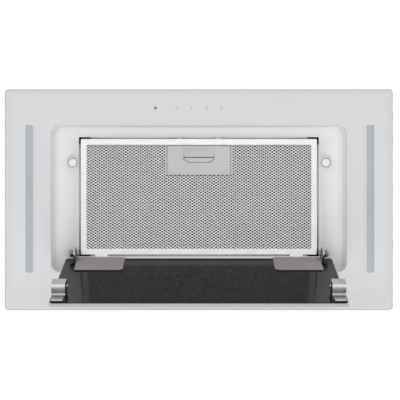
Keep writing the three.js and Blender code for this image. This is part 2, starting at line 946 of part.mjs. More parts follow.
function hingeLeaf() {
  const low = abovePanel(fit);
  const high = low + hingeSheet;
  const outer = hingeX + hingeSheet;
  const shape = new THREE.Shape();
  shape.moveTo(outer, alongPanel(fit));
  shape.lineTo(leafEdge, alongPanel(fit));
  shape.lineTo(leafEdge, alongPanel(leafDepth - leafCorner));
  const corner = [leafEdge + leafCorner, alongPanel(leafDepth - leafCorner)];
  shape.absarc(...corner, leafCorner, Math.PI, Math.PI * 1.5, false);
  shape.lineTo(outer, alongPanel(leafDepth));
  const flat = plate(shape.getPoints(cornerSteps), low, high);
  const side = slab([
    ...arc(0, 0, earRadius, 0, 180 - earSlant, smallSides),
    new THREE.Vector2(-earDepth, high + hingeSheet),
    new THREE.Vector2(alongPanel(leafDepth), high + hingeSheet),
    new THREE.Vector2(alongPanel(leafDepth), low),
    new THREE.Vector2(alongPanel(fit), low),
    new THREE.Vector2(alongPanel(fit), high),
  ], hingeX, outer);
  return cut(joined(flat, side), rodX(pinRadius + fit, hingeX - reach, outer + reach, 0, 0));
}

const catchTop = recessDepth - magnetHeight - panelStack - fit; // meets the magnet when shut
const catchFront = catchStart + catchDepth + fit + stripSheet;
const catchScrewAt = [catchStart + catchScrewInset, catchTop / 2];

function catchBlock() {
  const body = block(
    catchInner,
    catchOuter,
    alongPanel(catchStart + catchDepth),
    alongPanel(catchStart),
    abovePanel(fit),
    abovePanel(catchTop - stripSheet - fit),
  );
  const [along, above] = catchScrewAt;
  const bore = rodX(
    catchScrewShank + fit,
    catchInner - reach,
    catchInner + catchWidth / 2 + reach,
    alongPanel(along),
    abovePanel(above),
    smallSides,
  );
  return cut(body, bore);
}

// Stainless strip: over the block, down its front in a soft S, and out as a foot on the panel
function catchStrip() {
  const bend = new THREE.SplineCurve([
    [catchFront - 0.9, catchTop],
    [catchFront + stripBulge * 0.5, catchTop * 0.92],
    [catchFront + stripBulge, catchTop * 0.75],
    [catchFront + stripBulge * 0.8, catchTop * 0.62],
    [catchFront + stripBulge * 0.25, catchTop * 0.46],
    [catchFront + stripBulge * 0.25, catchTop * 0.36],
    [catchFront + stripBulge * 0.8, catchTop * 0.25],
    [catchFront + stripBulge * 1.1, catchTop * 0.18],
    [catchFront + stripBulge * 1.5, fit + stripSheet],
  ].map(([along, above]) => new THREE.Vector2(alongPanel(along), abovePanel(above)))).getPoints(plainSides);
  const line = [
    new THREE.Vector2(alongPanel(catchStart), abovePanel(catchTop)),
    ...bend,
    new THREE.Vector2(alongPanel(catchFront + catchFoot), abovePanel(fit + stripSheet)),
  ];
  return slab(ribbon(line, stripSheet), catchInner, catchOuter);
}

function catchScrew() {
  const [along, above] = catchScrewAt;
  const head = catchInner - catchScrewHead;
  const profile = [
    [0, head],
    [catchScrewRadius * 0.6, head],
    [catchScrewRadius, head + catchScrewHead * 0.5],
    [catchScrewRadius, catchInner],
    [catchScrewShank, catchInner],
    [catchScrewShank, catchInner + catchWidth / 2],
    [0, catchInner + catchWidth / 2],
  ];
  const drive = crossDrive(head, catchScrewHead / 2, catchScrewRadius, catchDrive);
  return cut(turnedX(profile, smallSides), drive).translate([0, alongPanel(along), abovePanel(above)]);
}

// Body above the face -----------------------------------------------------------

const glandPlace = [bodyWidth / 2 - glandInset, bodyDepth / 2 - glandInset];

function bodyShell() {
  const outside = plate(rounded(bodyWidth, bodyDepth, bodyCorner, 0, 0, edgeSteps), seatStep, bodyHeight);
  const wall = 2 * bodySheet;
  const inside = plate(
    rounded(bodyWidth - wall, bodyDepth - wall, bodyCorner - bodySheet, 0, 0, edgeSteps),
    seatStep + bodySheet,
    bodyRoof,
  );
  const rim = wall + 2 * bodyFlange;
  const outline = rounded(bodyWidth - rim, bodyDepth - rim, bodyCorner, 0, 0, edgeSteps);
  const open = plate(outline, seatStep - reach, seatStep + bodySheet + reach);
  const throat = block(
    -scrollWidth / 2,
    scrollWidth / 2,
    throatMiddle - throatDepth / 2 + scrollSheet,
    throatMiddle + throatDepth / 2 - scrollSheet,
    bodyRoof - reach,
    bodyHeight + reach,
  );
  const end = fixingWidth / 2 - 0.01; // radius of a slot's round ends
  const slots = [-1, 1].map((side) => slab(
    rounded(fixingWidth, fixingLength, end, side * fixingSpacing / 2, fixingHeight, edgeSteps),
    -bodyWidth / 2 - reach,
    bodyWidth / 2 + reach,
  ));
  const gland = rodZ(glandNeck + fit, ...glandPlace, bodyRoof - reach, bodyHeight + reach, plainSides);
  return cut(outside, inside, open, throat, ...slots, gland);
}

// Cable entry in the roof
function cableGland() {
  const hex = rodZ(glandRadius, ...glandPlace, bodyHeight, bodyHeight + glandHeight / 2, 6);
  const cap = turned([
    [0, bodyRoof - glandHeight / 3],
    [glandNeck, bodyRoof - glandHeight / 3],
    [glandNeck, bodyHeight],
    [glandRadius * 0.85, bodyHeight],
    [glandRadius * 0.8, bodyHeight + glandHeight * 0.8],
    [glandRadius * 0.6, bodyHeight + glandHeight],
    [0, bodyHeight + glandHeight],
  ], plainSides).translate([...glandPlace, 0]);
  const top = bodyHeight + glandHeight;
  const bore = rodZ(glandBore, ...glandPlace, bodyRoof - glandHeight, top + reach, smallSides);
  return cut(joined(hex, cap), bore);
}

// Terminal and speed control box on the right wall
function controlBox() {
  const [width, depth] = [controlWidth - 2 * controlChamfer, controlDepth - 2 * controlChamfer];
  const box = rounded(controlWidth, controlDepth, controlCorner, bodyInner - controlWidth / 2, 0);
  const lid = rounded(width, depth, controlCorner, bodyInner - controlWidth / 2, 0);
  return loft([
    { points: lid, z: controlLift },
    { points: box, z: controlLift + controlChamfer },
    { points: box, z: controlLift + controlHeight },
  ]);
}

// Blower ----------------------------------------------------------------------------

// Outer line of the volute, from the inner wall of the throat round to its outer wall
function scrollLine(top) {
  const spiral = Array.from({ length: scrollSteps + 1 }, (_, step) => {
    const angle = tongueAngle * (step / scrollSteps - 1);
    const radius = scrollStart + (scrollEnd - scrollStart) * step / scrollSteps;
    return new THREE.Vector2(Math.cos(angle), Math.sin(angle))
      .multiplyScalar(radius)
      .add(new THREE.Vector2(blowerShift, blowerHeight));
  });
  return [
    new THREE.Vector2(blowerShift + throatInner, top),
    ...spiral,
    new THREE.Vector2(blowerShift + scrollEnd, top),
  ];
}

const scrollWrap = () => slab(ribbon(scrollLine(bodyRoof), scrollSheet), -scrollWidth / 2, scrollWidth / 2);

function scrollSide() {
  const inner = scrollWidth / 2;
  const outer = inner + scrollSheet;
  const side = slab(scrollLine(bodyRoof), inner, outer);
  const hole = rodX(inletRadius + inletRoll, inner - reach, outer + reach, blowerShift, blowerHeight);
  const centre = inletRadius + inletRoll;
  const seam = centre + 2 * scrollSheet;
  const roll = (radius) => arc(centre, outer - inletRoll, radius, 90, 180, edgeSteps);
  const quarter = (radius) => roll(radius).map(({ x, y }) => [x, y]);
  const bell = turnedX([
    [seam, inner],
    [seam, outer],
    ...quarter(inletRoll),
    ...quarter(inletRoll - scrollSheet).reverse(),
    [seam, inner],
  ]).translate([0, blowerShift, blowerHeight]);
  return joined(cut(side, hole), bell);
}

// Wheel with two inlets: forward curved blades between end rims, carried by a middle disc
function blowerWheel() {
  const end = wheelWidth / 2;
  const root = wheelRadius - bladeDepth;
  const rimEnd = end - rimWidth;
  const line = [0, 0.5, 1].map((share) => {
    const radius = root + (bladeDepth - bladeSheet) * share;
    const angle = THREE.MathUtils.degToRad(bladeLead + bladeSweep * share * share);
    return new THREE.Vector2(radius * Math.cos(angle), radius * Math.sin(angle));
  });
  const blade = joined(
    slab(ribbon(line, bladeSheet), -rimEnd, -hubDisc / 2),
    slab(ribbon(line, bladeSheet), hubDisc / 2, rimEnd),
  );
  const pitch = 360 / bladeCount;
  const blades = Array.from({ length: bladeCount }, (_, index) => blade.rotate([index * pitch, 0, 0]));
  const rim = (from) => turnedX([
    [wheelRadius - bladeDepth / 2, from],
    [wheelRadius, from],
    [wheelRadius, from + rimWidth],
    [wheelRadius - bladeDepth / 2, from + rimWidth],
    [wheelRadius - bladeDepth / 2, from],
  ], bladeCount);
  const disc = rodX(wheelRadius - bladeSheet, -hubDisc / 2, hubDisc / 2, 0, 0, bladeCount);
  const hub = rodX(hubRadius, -hubRadius, hubFront, 0, 0, plainSides);
  const bore = rodX(shaftRadius + fit, -hubRadius - reach, hubRadius, 0, 0, smallSides);
  const whole = joined(wasm.Manifold.union(blades), rim(-end), rim(rimEnd), disc, hub);
  return cut(whole, bore).translate([0, blowerShift, blowerHeight]);
}

const bracketX = scrollWidth / 2 + scrollSheet;

function blowerMotor() {
  const front = hubFront + motorGap;
  const first = front + motorCorner;
  const ribs = Math.floor((bracketX - first) / (1.5 * motorRib));
  const step = (bracketX - motorCorner - first) / ribs;
  const side = Array.from({ length: ribs }, (_, rib) => {
    const start = first + rib * step;
    return [
      [motorRadius, start],
      [motorRadius, start + motorRib],
      [motorRadius - motorGroove, start + motorRib],
      [motorRadius - motorGroove, start + step],
    ];
  }).flat();
  return turnedX([
    [0, -hubRadius - shaftEnd],
    [shaftRadius, -hubRadius - shaftEnd],
    [shaftRadius, front],
    [motorRadius - motorCorner, front],
    ...side,
    [motorRadius - motorCorner, bracketX],
    [0, bracketX],
  ], plainSides).translate([0, blowerShift, blowerHeight]);
}

// Three armed bracket from the motor to the side plate
function motorBracket() {
  const end = bracketX + bracketSheet;
  const tip = inletRadius + inletRoll + bracketLap;
  const centre = rodX(motorRadius - 2 * motorCorner, bracketX, end, 0, 0, plainSides);
  const arms = [0, 1, 2].map((index) => {
    const arm = block(bracketX, end, 0, tip, -bracketArm / 2, bracketArm / 2);
    return arm.rotate([index * 120 + 30, 0, 0]);
  });
  return joined(centre, ...arms).translate([0, blowerShift, blowerHeight]);
}

function motorCapacitor() {
  const start = bodyInner - capacitorLength;
  const can = turnedX([
    [0, start],
    [capacitorRadius - tagSheet, start],
    [capacitorRadius, start + tagSheet],
    [capacitorRadius, bodyInner],
    [0, bodyInner],
  ], plainSides);
  const tags = [-1, 1].map((side) => block(
    start - tagLength,
    start + reach,
    (side * tagPitch - tagSheet) / 2,
    (side * tagPitch + tagSheet) / 2,
    -tagWidth / 2,
    tagWidth / 2,
  ));
  return mirrored(joined(can, ...tags).translate([0, 0, controlLift + controlHeight / 2]));
}

// Outlet ------------------------------------------------------------------------------

const ontoThroat = (solid) => solid.translate([0, throatMiddle, 0]);

function outletPlate() {
  const base = plate(rounded(collarBase, collarBase, collarCorner), bodyHeight, collarFloor);
  const bore = rodZ(collarRadius + fit, 0, 0, bodyHeight - reach, collarFloor + reach);
  return ontoThroat(cut(base, bore));
}

// Spigot that stands on the plate by its foot, with a ledge under the flaps
function outletCollar() {
  const inner = collarRadius - collarWall;
  const top = bodyHeight + collarHeight;
  const ledgeTop = flapZ - flapSheet / 2 - fit;
  const ring = turned([
    [inner, bodyHeight],
    [collarRadius, bodyHeight],
    [collarRadius, collarFloor],
    [collarRadius + collarFoot, collarFloor],
    [collarRadius, collarFloor + collarFoot],
    [collarRadius, top - 4 * collarBead],
    [collarRadius + collarBead, top - 3 * collarBead],
    [collarRadius, top - 2 * collarBead],
    [collarRadius, top],
    [inner, top],
    [inner, ledgeTop],
    [inner - 2 * flapGap, ledgeTop],
    [inner, ledgeTop - 2 * flapGap],
    [inner, bodyHeight],
  ]);
  const end = collarRadius + collarFoot;
  const pinHole = rodX(damperPin + fit, -end, end, 0, flapZ, smallSides);
  return ontoThroat(cut(ring, pinHole));
}

function flapPin() {
  const end = collarRadius + reach;
  return rodX(damperPin, -end, end, throatMiddle, flapZ, smallSides);
}

// Half disc whose two knuckles alternate on the pin with those of the other flap
function outletFlap(turn) {
  const radius = collarRadius - collarWall - flapGap;
  const start = knuckleRadius + 2 * fit; // straight edge beside the other flap's knuckles
  const lean = Math.asin(start / radius);
  const half = new THREE.Shape();
  half.absarc(0, 0, radius, lean, Math.PI - lean, false);
  const low = flapZ - flapSheet / 2;
  const high = flapZ + flapSheet / 2;
  const leaf = plate(half.getPoints(smallSides), low, high);
  const pitch = knuckleLength + 2 * fit;
  const knuckles = [-1.5, 0.5].map((place) => {
    const from = place * pitch - knuckleLength / 2;
    const barrel = rodX(knuckleRadius, from, from + knuckleLength, 0, flapZ, plainSides);
    const web = block(from, from + knuckleLength, 0, start + reach, low, high);
    return joined(barrel, web);
  });
  const bore = rodX(damperPin + fit, -radius, radius, 0, flapZ, smallSides);
  const flap = cut(joined(leaf, ...knuckles), bore);
  return flap.rotate([0, 0, turn]).translate([0, throatMiddle, 0]);
}

// The whole hood ------------------------------------------------------------------------

place('face_glass', faceGlass(), whiteGlass);
place('face_carrier', faceCarrier(), zincSteel);
place('recess_pan', recessPan(), whitePaint);
placePair('hinge_ear', hingeEar(), zincSteel);
placePair('hinge_washer', hingeWasher(), whitePlastic);
placePair('hinge_screw', hingeScrew(), stainless);
placePair('hinge_nut', hingeNut(), stainless);
placePair('magnet_cup', magnetHolder(), whitePlastic);
placePair('magnet_disc', magnetDisc(), zincSteel);
placeLamps('lamp_cover', lampCover(), frosted);
placeLamps('lamp_housing', lampHousing(), aluminium);
placeLamps('lamp_board', lampBoard(), circuitBoard);
place('touch_board', touchBoard(), circuitBoard);

place('body_shell', bodyShell(), zincSteel);
place('control_box', controlBox(), blackPlastic);
place('cable_gland', cableGland(), blackPlastic);
place('scroll_wrap', scrollWrap(), zincSteel);
placePair('scroll_side', scrollSide(), zincSteel);
place('blower_wheel', blowerWheel(), blackPlastic);
place('blower_motor', blowerMotor(), castGrey);
place('motor_bracket', motorBracket(), zincSteel);
place('motor_capacitor', motorCapacitor(), aluminium);
place('outlet_plate', outletPlate(), blackPlastic);
place('outlet_collar', outletCollar(), blackPlastic);
place('flap_pin', flapPin(), stainless);
place('flap_rear', outletFlap(0), blackPlastic);
place('flap_front', outletFlap(180), blackPlastic);

place('filter_frame', filterFrame(), aluminium);
place('front_mesh_outer', frontMesh(0), aluminium);
place('front_mesh_inner', frontMesh(1), aluminium);
place('filter_pad', filterPad(), aluminium);
place('rear_mesh', rearMesh(), aluminium);
place('latch_plate', latchPlate(), greyPlastic);
place('latch_slider', latchSlider(), greyPlastic);
place('latch_spring', latchSpring(), stainless);

const panel = new THREE.Group();
panel.position.set(0, pivotY, pivotZ);
panel.rotation.x = openTurn;
hood.add(panel);
place('panel_glass', panelPane(), whiteGlass, panel);
place('panel_lining', panelLining(), darkGloss, panel);
placePair('hinge_leaf', hingeLeaf(), leafPaint, panel);
placePair('catch_block', catchBlock(), blackPlastic, panel);
placePair('catch_strip', catchStrip(), stainless, panel);
placePair('catch_screw', catchScrew(), stainless, panel);

export default hood;
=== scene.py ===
import json
import math

import bmesh
import bpy
from mathutils import Matrix, Vector
from mathutils.geometry import delaunay_2d_cdt


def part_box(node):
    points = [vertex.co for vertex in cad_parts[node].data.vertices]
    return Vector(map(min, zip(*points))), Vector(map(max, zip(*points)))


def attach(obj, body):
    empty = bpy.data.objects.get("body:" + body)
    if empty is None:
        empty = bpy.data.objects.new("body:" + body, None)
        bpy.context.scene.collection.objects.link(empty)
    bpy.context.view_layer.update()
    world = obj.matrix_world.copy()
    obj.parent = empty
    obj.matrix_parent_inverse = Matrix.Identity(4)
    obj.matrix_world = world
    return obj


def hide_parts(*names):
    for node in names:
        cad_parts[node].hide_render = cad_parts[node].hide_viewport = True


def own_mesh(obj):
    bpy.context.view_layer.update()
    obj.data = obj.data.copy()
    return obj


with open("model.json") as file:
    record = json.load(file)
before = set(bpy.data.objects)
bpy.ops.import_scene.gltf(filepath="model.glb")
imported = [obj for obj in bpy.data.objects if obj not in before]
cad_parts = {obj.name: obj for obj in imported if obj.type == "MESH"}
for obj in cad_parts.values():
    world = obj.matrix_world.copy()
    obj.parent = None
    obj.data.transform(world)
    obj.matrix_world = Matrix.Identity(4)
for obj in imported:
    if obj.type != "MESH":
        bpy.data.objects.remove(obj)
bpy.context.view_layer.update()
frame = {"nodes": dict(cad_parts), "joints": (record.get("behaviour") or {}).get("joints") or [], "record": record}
nodes = frame["nodes"]
joints = {joint["name"]: joint for joint in frame["joints"]}
print("frame loaded,", len(nodes), "pieces")


def shade(colour, share):  # the colour made darker or lighter
    return tuple(min(part * share, 1) for part in colour)


class Wire:  # a node's output, which can be used in sums
    def __init__(self, finish, socket):
        self.finish = finish
        self.socket = socket

    def math(self, operation, *others):
        inputs = dict(enumerate([self, *others]))
        return self.finish.node("ShaderNodeMath", {"operation": operation}, inputs)

    def __add__(self, other):
        return self.math("ADD", other)

    def __mul__(self, other):
        return self.math("MULTIPLY", other)


class Finish:  # a material, or the world, and the nodes in it
    def __init__(self, name, owner=None):
        self.material = owner or bpy.data.materials.new(name)
        self.material.use_nodes = True
        self.tree = self.material.node_tree
        self.tree.nodes.clear()

    def node(self, kind, settings=None, inputs=None, output=0):
        made = self.tree.nodes.new(kind)
        for key, value in (settings or {}).items():
            if key == "stops":
                ramp = made.color_ramp
                while len(ramp.elements) < len(value):
                    ramp.elements.new(0.5)
                for element, (place, colour) in zip(ramp.elements, value):
                    element.position = place
                    element.color = (*colour, 1)
            else:
                setattr(made, key, value)
        for key, value in (inputs or {}).items():
            if isinstance(value, Wire):
                self.tree.links.new(value.socket, made.inputs[key])
            else:
                made.inputs[key].default_value = value
        return made if output is None else Wire(self, made.outputs[output])

    def place(self, stretch=(1, 1, 1)):  # object coordinates, stretched
        spot = self.node("ShaderNodeTexCoord", output="Object")
        return self.node("ShaderNodeMapping", {}, {"Vector": spot, "Scale": stretch})

    def cloud(self, scale, detail, stretch=(1, 1, 1)):
        values = {"Vector": self.place(stretch), "Scale": scale, "Detail": detail}
        return self.node("ShaderNodeTexNoise", {}, values)

    def cells(self, scale, output):
        values = {"Vector": self.place(), "Scale": scale}
        return self.node("ShaderNodeTexVoronoi", {}, values, output)

    def flakes(self, scale):  # cells, each with a shade of grey of its own
        return self.node("ShaderNodeSeparateColor", {}, {"Color": self.cells(scale, "Color")})

    def ramp(self, wire, *stops):
        return self.node("ShaderNodeValToRGB", {"stops": stops}, {"Fac": wire})

    def varied(self, wire, colour, drift):  # the colour, a share darker here and lighter there
        return self.ramp(wire, (0.3, shade(colour, 1 - drift)), (0.7, shade(colour, 1 + drift)))

    def between(self, share, low, high):  # a number that runs from low to high
        values = {"Value": share, "From Min": 0.25, "From Max": 0.75, "To Min": low, "To Max": high}
        return self.node("ShaderNodeMapRange", {"clamp": True}, values)

    def bump(self, height, distance, strength):
        values = {"Height": height, "Distance": distance, "Strength": strength}
        return self.node("ShaderNodeBump", {}, values, "Normal")

    def surface(self, values):  # the principled shader and the output
        shader = self.node("ShaderNodeBsdfPrincipled", {}, values)
        self.node("ShaderNodeOutputMaterial", {}, {"Surface": shader}, None)
        return self.material

    def shine(self, colour, share, rough, normal, **more):  # its roughness runs with the share
        roughness = self.between(share, *rough)
        return self.surface({"Base Color": colour, "Roughness": roughness, "Normal": normal, **more})


def enamelGlass():
    look = {"colour": (0.638, 0.645, 0.662), "drift": 0.01, "patch": 3, "smear": 26, "rough": (0.06, 0.1)}
    f = Finish("white_enamelled_glass")
    colour = f.varied(f.cloud(look["patch"], 2), look["colour"], look["drift"])
    wave = f.bump(f.cloud(9, 1), 0.00004, 0.3)
    return f.shine(colour, f.cloud(look["smear"], 4), look["rough"], wave, IOR=1.5)


def groundEdge():
    look = {"colour": (0.42, 0.45, 0.452), "drift": 0.07, "grain": 1400, "rough": (0.2, 0.34)}
    f = Finish("ground_glass_edge")
    grain = f.cloud(look["grain"], 2)
    colour = f.varied(grain, look["colour"], look["drift"])
    return f.shine(colour, grain, look["rough"], f.bump(grain, 0.00002, 0.4), IOR=1.5)


def powderCoat():
    look = {"colour": (0.87, 0.865, 0.865), "drift": 0.012, "patch": 7, "peel": 620, "rough": (0.34, 0.46)}
    f = Finish("white_powder_coat")
    peel = f.cloud(look["peel"], 3)
    colour = f.varied(f.cloud(look["patch"], 3), look["colour"], look["drift"])
    return f.shine(colour, peel, look["rough"], f.bump(peel, 0.00006, 0.35))


def zincSheet():
    look = {"light": (0.64, 0.65, 0.67), "dark": (0.53, 0.54, 0.56), "spangle": 170, "frost": 700}
    f = Finish("zinc_coated_sheet")
    mixed = f.flakes(look["spangle"]) * 0.55 + f.cloud(look["frost"], 4) * 0.45
    colour = f.ramp(mixed, (0.25, look["dark"]), (0.75, look["light"]))
    return f.shine(colour, mixed, (0.38, 0.5), f.bump(mixed, 0.00003, 0.2), Metallic=0.8)


def satinSteel(name, colour, rough, lines):  # brushed, with the lines running along X, Y or Z
    f = Finish(name)
    grain = f.cloud(900, 3, lines)
    tone = f.ramp(grain, (0.3, shade(colour, 0.93)), (0.7, shade(colour, 1.06)))
    return f.shine(tone, grain, rough, f.bump(grain, 0.00002, 0.4), Metallic=1.0)


def moulded(name, colour, rough, grain=900, depth=0.00003, drift=0.03):
    f = Finish(name)
    skin = f.cloud(grain, 2)
    tone = f.varied(f.cloud(18, 2), colour, drift)
    return f.shine(tone, skin, rough, f.bump(skin, depth, 0.35))


def millAluminium(name, colour, rough, drift=0.03, metal=1.0):
    f = Finish(name)
    grain = f.cloud(500, 3, (0.15, 1, 1))
    tone = f.varied(f.cloud(30, 3), colour, drift)
    return f.shine(tone, grain, rough, f.bump(grain, 0.00002, 0.3), Metallic=metal)


def foilPaintedShade():
    # near-black colour as painted shade: the depth of the foil layers, seen through the holes of the mesh
    look = {"dark": (0.012, 0.0115, 0.011), "light": (0.1, 0.097, 0.094), "stitch": 520, "fold": 180}
    f = Finish("knitted_foil_painted_shade")
    fold = f.cloud(look["fold"], 4)
    mixed = f.cells(look["stitch"], "Distance") * 0.6 + fold * 0.5
    colour = f.ramp(mixed, (0.2, look["dark"]), (0.75, look["light"]))
    return f.shine(colour, fold, (0.3, 0.5), f.bump(mixed, 0.0006, 0.8), Metallic=0.7)


def darkFilm():
    look = {"colour": (0.0125, 0.007, 0.0072), "drift": 0.15, "smear": 14, "rough": (0.09, 0.13)}
    f = Finish("dark_gloss_film")
    smear = f.cloud(look["smear"], 4)
    colour = f.varied(smear, look["colour"], look["drift"])
    wave = f.bump(f.cloud(30, 1), 0.00003, 0.15)
    return f.shine(colour, smear, look["rough"], wave, IOR=1.27)


def leafCoat():
    look = {"colour": (0.452, 0.413, 0.411), "flake": 2600}
    f = Finish("grey_metallic_coat")
    spark = f.flakes(look["flake"])
    colour = f.ramp(spark, (0.1, shade(look["colour"], 0.9)), (0.9, shade(look["colour"], 1.12)))
    return f.shine(colour, spark, (0.5, 0.6), f.bump(spark, 0.00002, 0.2), Metallic=0.35)


def frostedStrip():
    look = {"colour": (0.438, 0.456, 0.486), "drift": 0.05, "patch": 12, "frost": 1500}
    f = Finish("frosted_strip")
    frost = f.cloud(look["frost"], 2)
    colour = f.varied(f.cloud(look["patch"], 2, (0.2, 1, 0.2)), look["colour"], look["drift"])
    return f.shine(colour, frost, (0.45, 0.6), f.bump(frost, 0.00002, 0.4))


finishes = {
    "white_glass": enamelGlass(),
    "glass_edge": groundEdge(),
    "white_paint": powderCoat(),
    "zinc_steel": zincSheet(),
    "stainless": satinSteel("satin_stainless", (0.62, 0.6, 0.58), (0.18, 0.3), (0.06, 1, 1)),
    "magnet_face": moulded("magnet_face", (0.9, 0.875, 0.835), (0.22, 0.34), 700),
    "white_plastic": moulded("white_plastic", (0.74, 0.735, 0.71), (0.36, 0.5)),
    "lamp_cover": frostedStrip(),
    "filter_aluminium": millAluminium("filter_aluminium", (0.81, 0.804, 0.797), (0.3, 0.42), 0.015),
    "mesh_aluminium": millAluminium("mesh_aluminium", (0.97, 0.955, 0.945), (0.2, 0.32), 0.02, 0.8),
    "filter_wool": foilPaintedShade(),
    "lamp_aluminium": millAluminium("lamp_aluminium", (0.8, 0.8, 0.8), (0.3, 0.42)),
    "circuit_board": moulded("white_solder_mask", (0.74, 0.77, 0.73), (0.3, 0.42), 400),
    "dark_lining": darkFilm(),
    "leaf_grey": leafCoat(),
    "black_plastic": moulded("black_plastic", (0.024, 0.024, 0.025), (0.38, 0.52), 800, 0.00005, 0.1),
    "latch_grey": moulded("latch_grey_plastic", (0.6, 0.59, 0.594), (0.4, 0.52), 1000),
    "motor_metal": millAluminium("cast_motor_metal", (0.42, 0.43, 0.44), (0.42, 0.58), 0.08),
    # steel darkened as painted shade: on the hinge lugs, which are of the leaves' grey sheet, and on the magnets'
    # steel rims, where it stands for the shade in the groove
    "steel_painted_shade": satinSteel("steel_painted_shade", (0.21, 0.2, 0.185), (0.4, 0.5), (1, 1, 1)),
    "magnet_cup": moulded("magnet_cup", (0.74, 0.725, 0.7), (0.3, 0.42), 700),
    "bright_screw": satinSteel("bright_screw", (0.42, 0.42, 0.47), (0.08, 0.14), (1, 1, 1)),
    "bright_ear": satinSteel("bright_ear", (0.86, 0.85, 0.84), (0.16, 0.24), (1, 1, 1)),
    "printed_grey": moulded("printed_grey", (0.37, 0.376, 0.39), (0.3, 0.4)),
    "printed_dark": moulded("printed_dark", (0.185, 0.187, 0.192), (0.2, 0.3)),
}
print("finishes made:", len(finishes))

leastCorner = 0.0002
roundEnd = [(0, 1), (0.3, 0.3), (1, 0)]  # height and inset of a rounded edge, as shares of its size


def roundRect(width, depth, radius, x=0.0, y=0.0, steps=8):  # anticlockwise
    points = []
    for quarter, (sideX, sideY) in enumerate([(1, 1), (-1, 1), (-1, -1), (1, -1)]):
        for step in range(steps + 1):
            angle = (quarter + step / steps) * math.pi / 2
            points.append(Vector((
                x + sideX * (width / 2 - radius) + radius * math.cos(angle),
                y + sideY * (depth / 2 - radius) + radius * math.sin(angle),
            )))
    return points


def circle(radius, x, y, steps):
    return roundRect(2 * radius, 2 * radius, radius, x, y, steps)


def roundedCorners(corners, radii, steps=5):  # anticlockwise corners, each with its own radius
    points = []
    for index, corner in enumerate(corners):
        before = (corners[index - 1] - corner).normalized()
        after = (corners[(index + 1) % len(corners)] - corner).normalized()
        half = before.angle(after) / 2
        middle = corner + (before + after).normalized() * radii[index] / math.sin(half)
        start = corner + before * radii[index] / math.tan(half) - middle
        sweep = math.pi - 2 * half
        for step in range(steps + 1):
            turn = sweep * step / steps
            points.append(middle + Vector((
                start.x * math.cos(turn) - start.y * math.sin(turn),
                start.x * math.sin(turn) + start.y * math.cos(turn),
            )))
    return points


def rectOutline(width, depth, radius, x, y, steps):  # gives the outline at any inset
    def outline(inset):
        corner = max(radius - inset, leastCorner)
        return roundRect(width - 2 * inset, depth - 2 * inset, corner, x, y, steps)

    return outline


def ring(bm, points, z):
    return [bm.verts.new((point[0], point[1], z)) for point in points]


def wall(bm, low, high):  # quads between two rings that have as many points
    faces = []
    for index in range(len(low)):
        after = (index + 1) % len(low)
        faces.append(bm.faces.new([low[index], low[after], high[after], high[index]]))
    return faces


def walls(bm, rows):  # from each ring to the next
    return [made for low, high in zip(rows, rows[1:]) for made in wall(bm, low, high)]


def within(point, lines):  # whether a point is inside the outline and outside its holes
    odd = False
    for a, b in lines:
        if (a.y > point.y) != (b.y > point.y):
            crossing = a.x + (point.y - a.y) * (b.x - a.x) / (b.y - a.y)
            odd = odd != (point.x < crossing)
    return odd


def cap(bm, rings, up):  # a flat face with holes, between rings already made
    verts = [vert for one in rings for vert in one]
    flat = [vert.co.xy for vert in verts]
    edges = []
    start = 0
    for one in rings:
        edges += [(start + index, start + (index + 1) % len(one)) for index in range(len(one))]
        start += len(one)
    lines = [(flat[a], flat[b]) for a, b in edges]
    _, _, faces, origins, _, _ = delaunay_2d_cdt(flat, edges, [], 0, 1e-9)
    for face in faces:
        corners = [verts[origins[index][0]] for index in face]
        a, b, c = (vert.co.xy for vert in corners)
        turn = (b - a).cross(c - a)
        if abs(turn) > 1e-14 and within((a + b + c) / 3, lines):
            bm.faces.new(corners if (turn > 0) == up else corners[::-1])


def added(name, data):
    made = bpy.data.objects.new(name, data)
    bpy.context.scene.collection.objects.link(made)
    return made


def pieceOf(name, bm, finish, smooth=35, edge=None, place=None):
    if place:
        bm.transform(place)
    mesh = bpy.data.meshes.new(name)
    bmesh.ops.recalc_face_normals(bm, faces=bm.faces)
    bm.to_mesh(mesh)
    bm.free()
    mesh.materials.append(finishes[finish])
    if edge:
        mesh.materials.append(finishes[edge])
    for polygon in mesh.polygons:
        polygon.use_smooth = True
    mesh.set_sharp_from_angle(angle=math.radians(smooth))
    return added(name, mesh)


def prism(bm, outline, levels, *holes):  # a closed body, from the height and inset of each level
    chains = []
    for line, sign in [(outline, 1), *((hole, -1) for hole in holes)]:
        chains.append([ring(bm, line(sign * inset) if callable(line) else line, z) for z, inset in levels])
        walls(bm, chains[-1])
    cap(bm, [rows[0] for rows in chains], False)
    cap(bm, [rows[-1] for rows in chains], True)


def curve(points, steps):  # a smooth line through the points
    line = []
    for index in range(len(points) - 1):
        a, b, c, d = (points[min(max(index + shift, 0), len(points) - 1)] for shift in (-1, 0, 1, 2))
        slope, bend, twist = c - a, a * 2 - b * 5 + c * 4 - d, b * 3 - a - c * 3 + d
        for step in range(steps):
            t = step / steps
            line.append((b * 2 + slope * t + bend * t * t + twist * t ** 3) / 2)
    return line + [points[-1]]


def ribbon(line, sheet):  # a line with thickness on its right hand side
    other = []
    for index, point in enumerate(line):
        along = (line[min(index + 1, len(line) - 1)] - line[max(index - 1, 0)]).normalized()
        other.append(point + Vector((along.y, -along.x)) * sheet)
    return line + other[::-1]


def softLevels(low, high, soft):  # heights and insets of a body with rounded ends
    start = [(low + up * soft, inset * soft) for up, inset in roundEnd]
    return start + [(high - up * soft, inset * soft) for up, inset in reversed(roundEnd)]


def standsFor(piece, body, slot, *cadNodes):
    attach(piece, body)
    if cadNodes:
        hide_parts(*cadNodes)


camera = {"x": 0.00154, "y": 0.000335, "distance": 1.375, "lens": 92.34}
faceLow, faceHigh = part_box("face_glass")
eye = added("eye", bpy.data.cameras.new("eye"))
eye.data.lens = camera["lens"]
eye.data.sensor_width = 36
eye.location = (camera["x"], camera["y"], faceLow.z - camera["distance"])
eye.rotation_euler = (math.pi, 0, 0)
bpy.context.scene.camera = eye

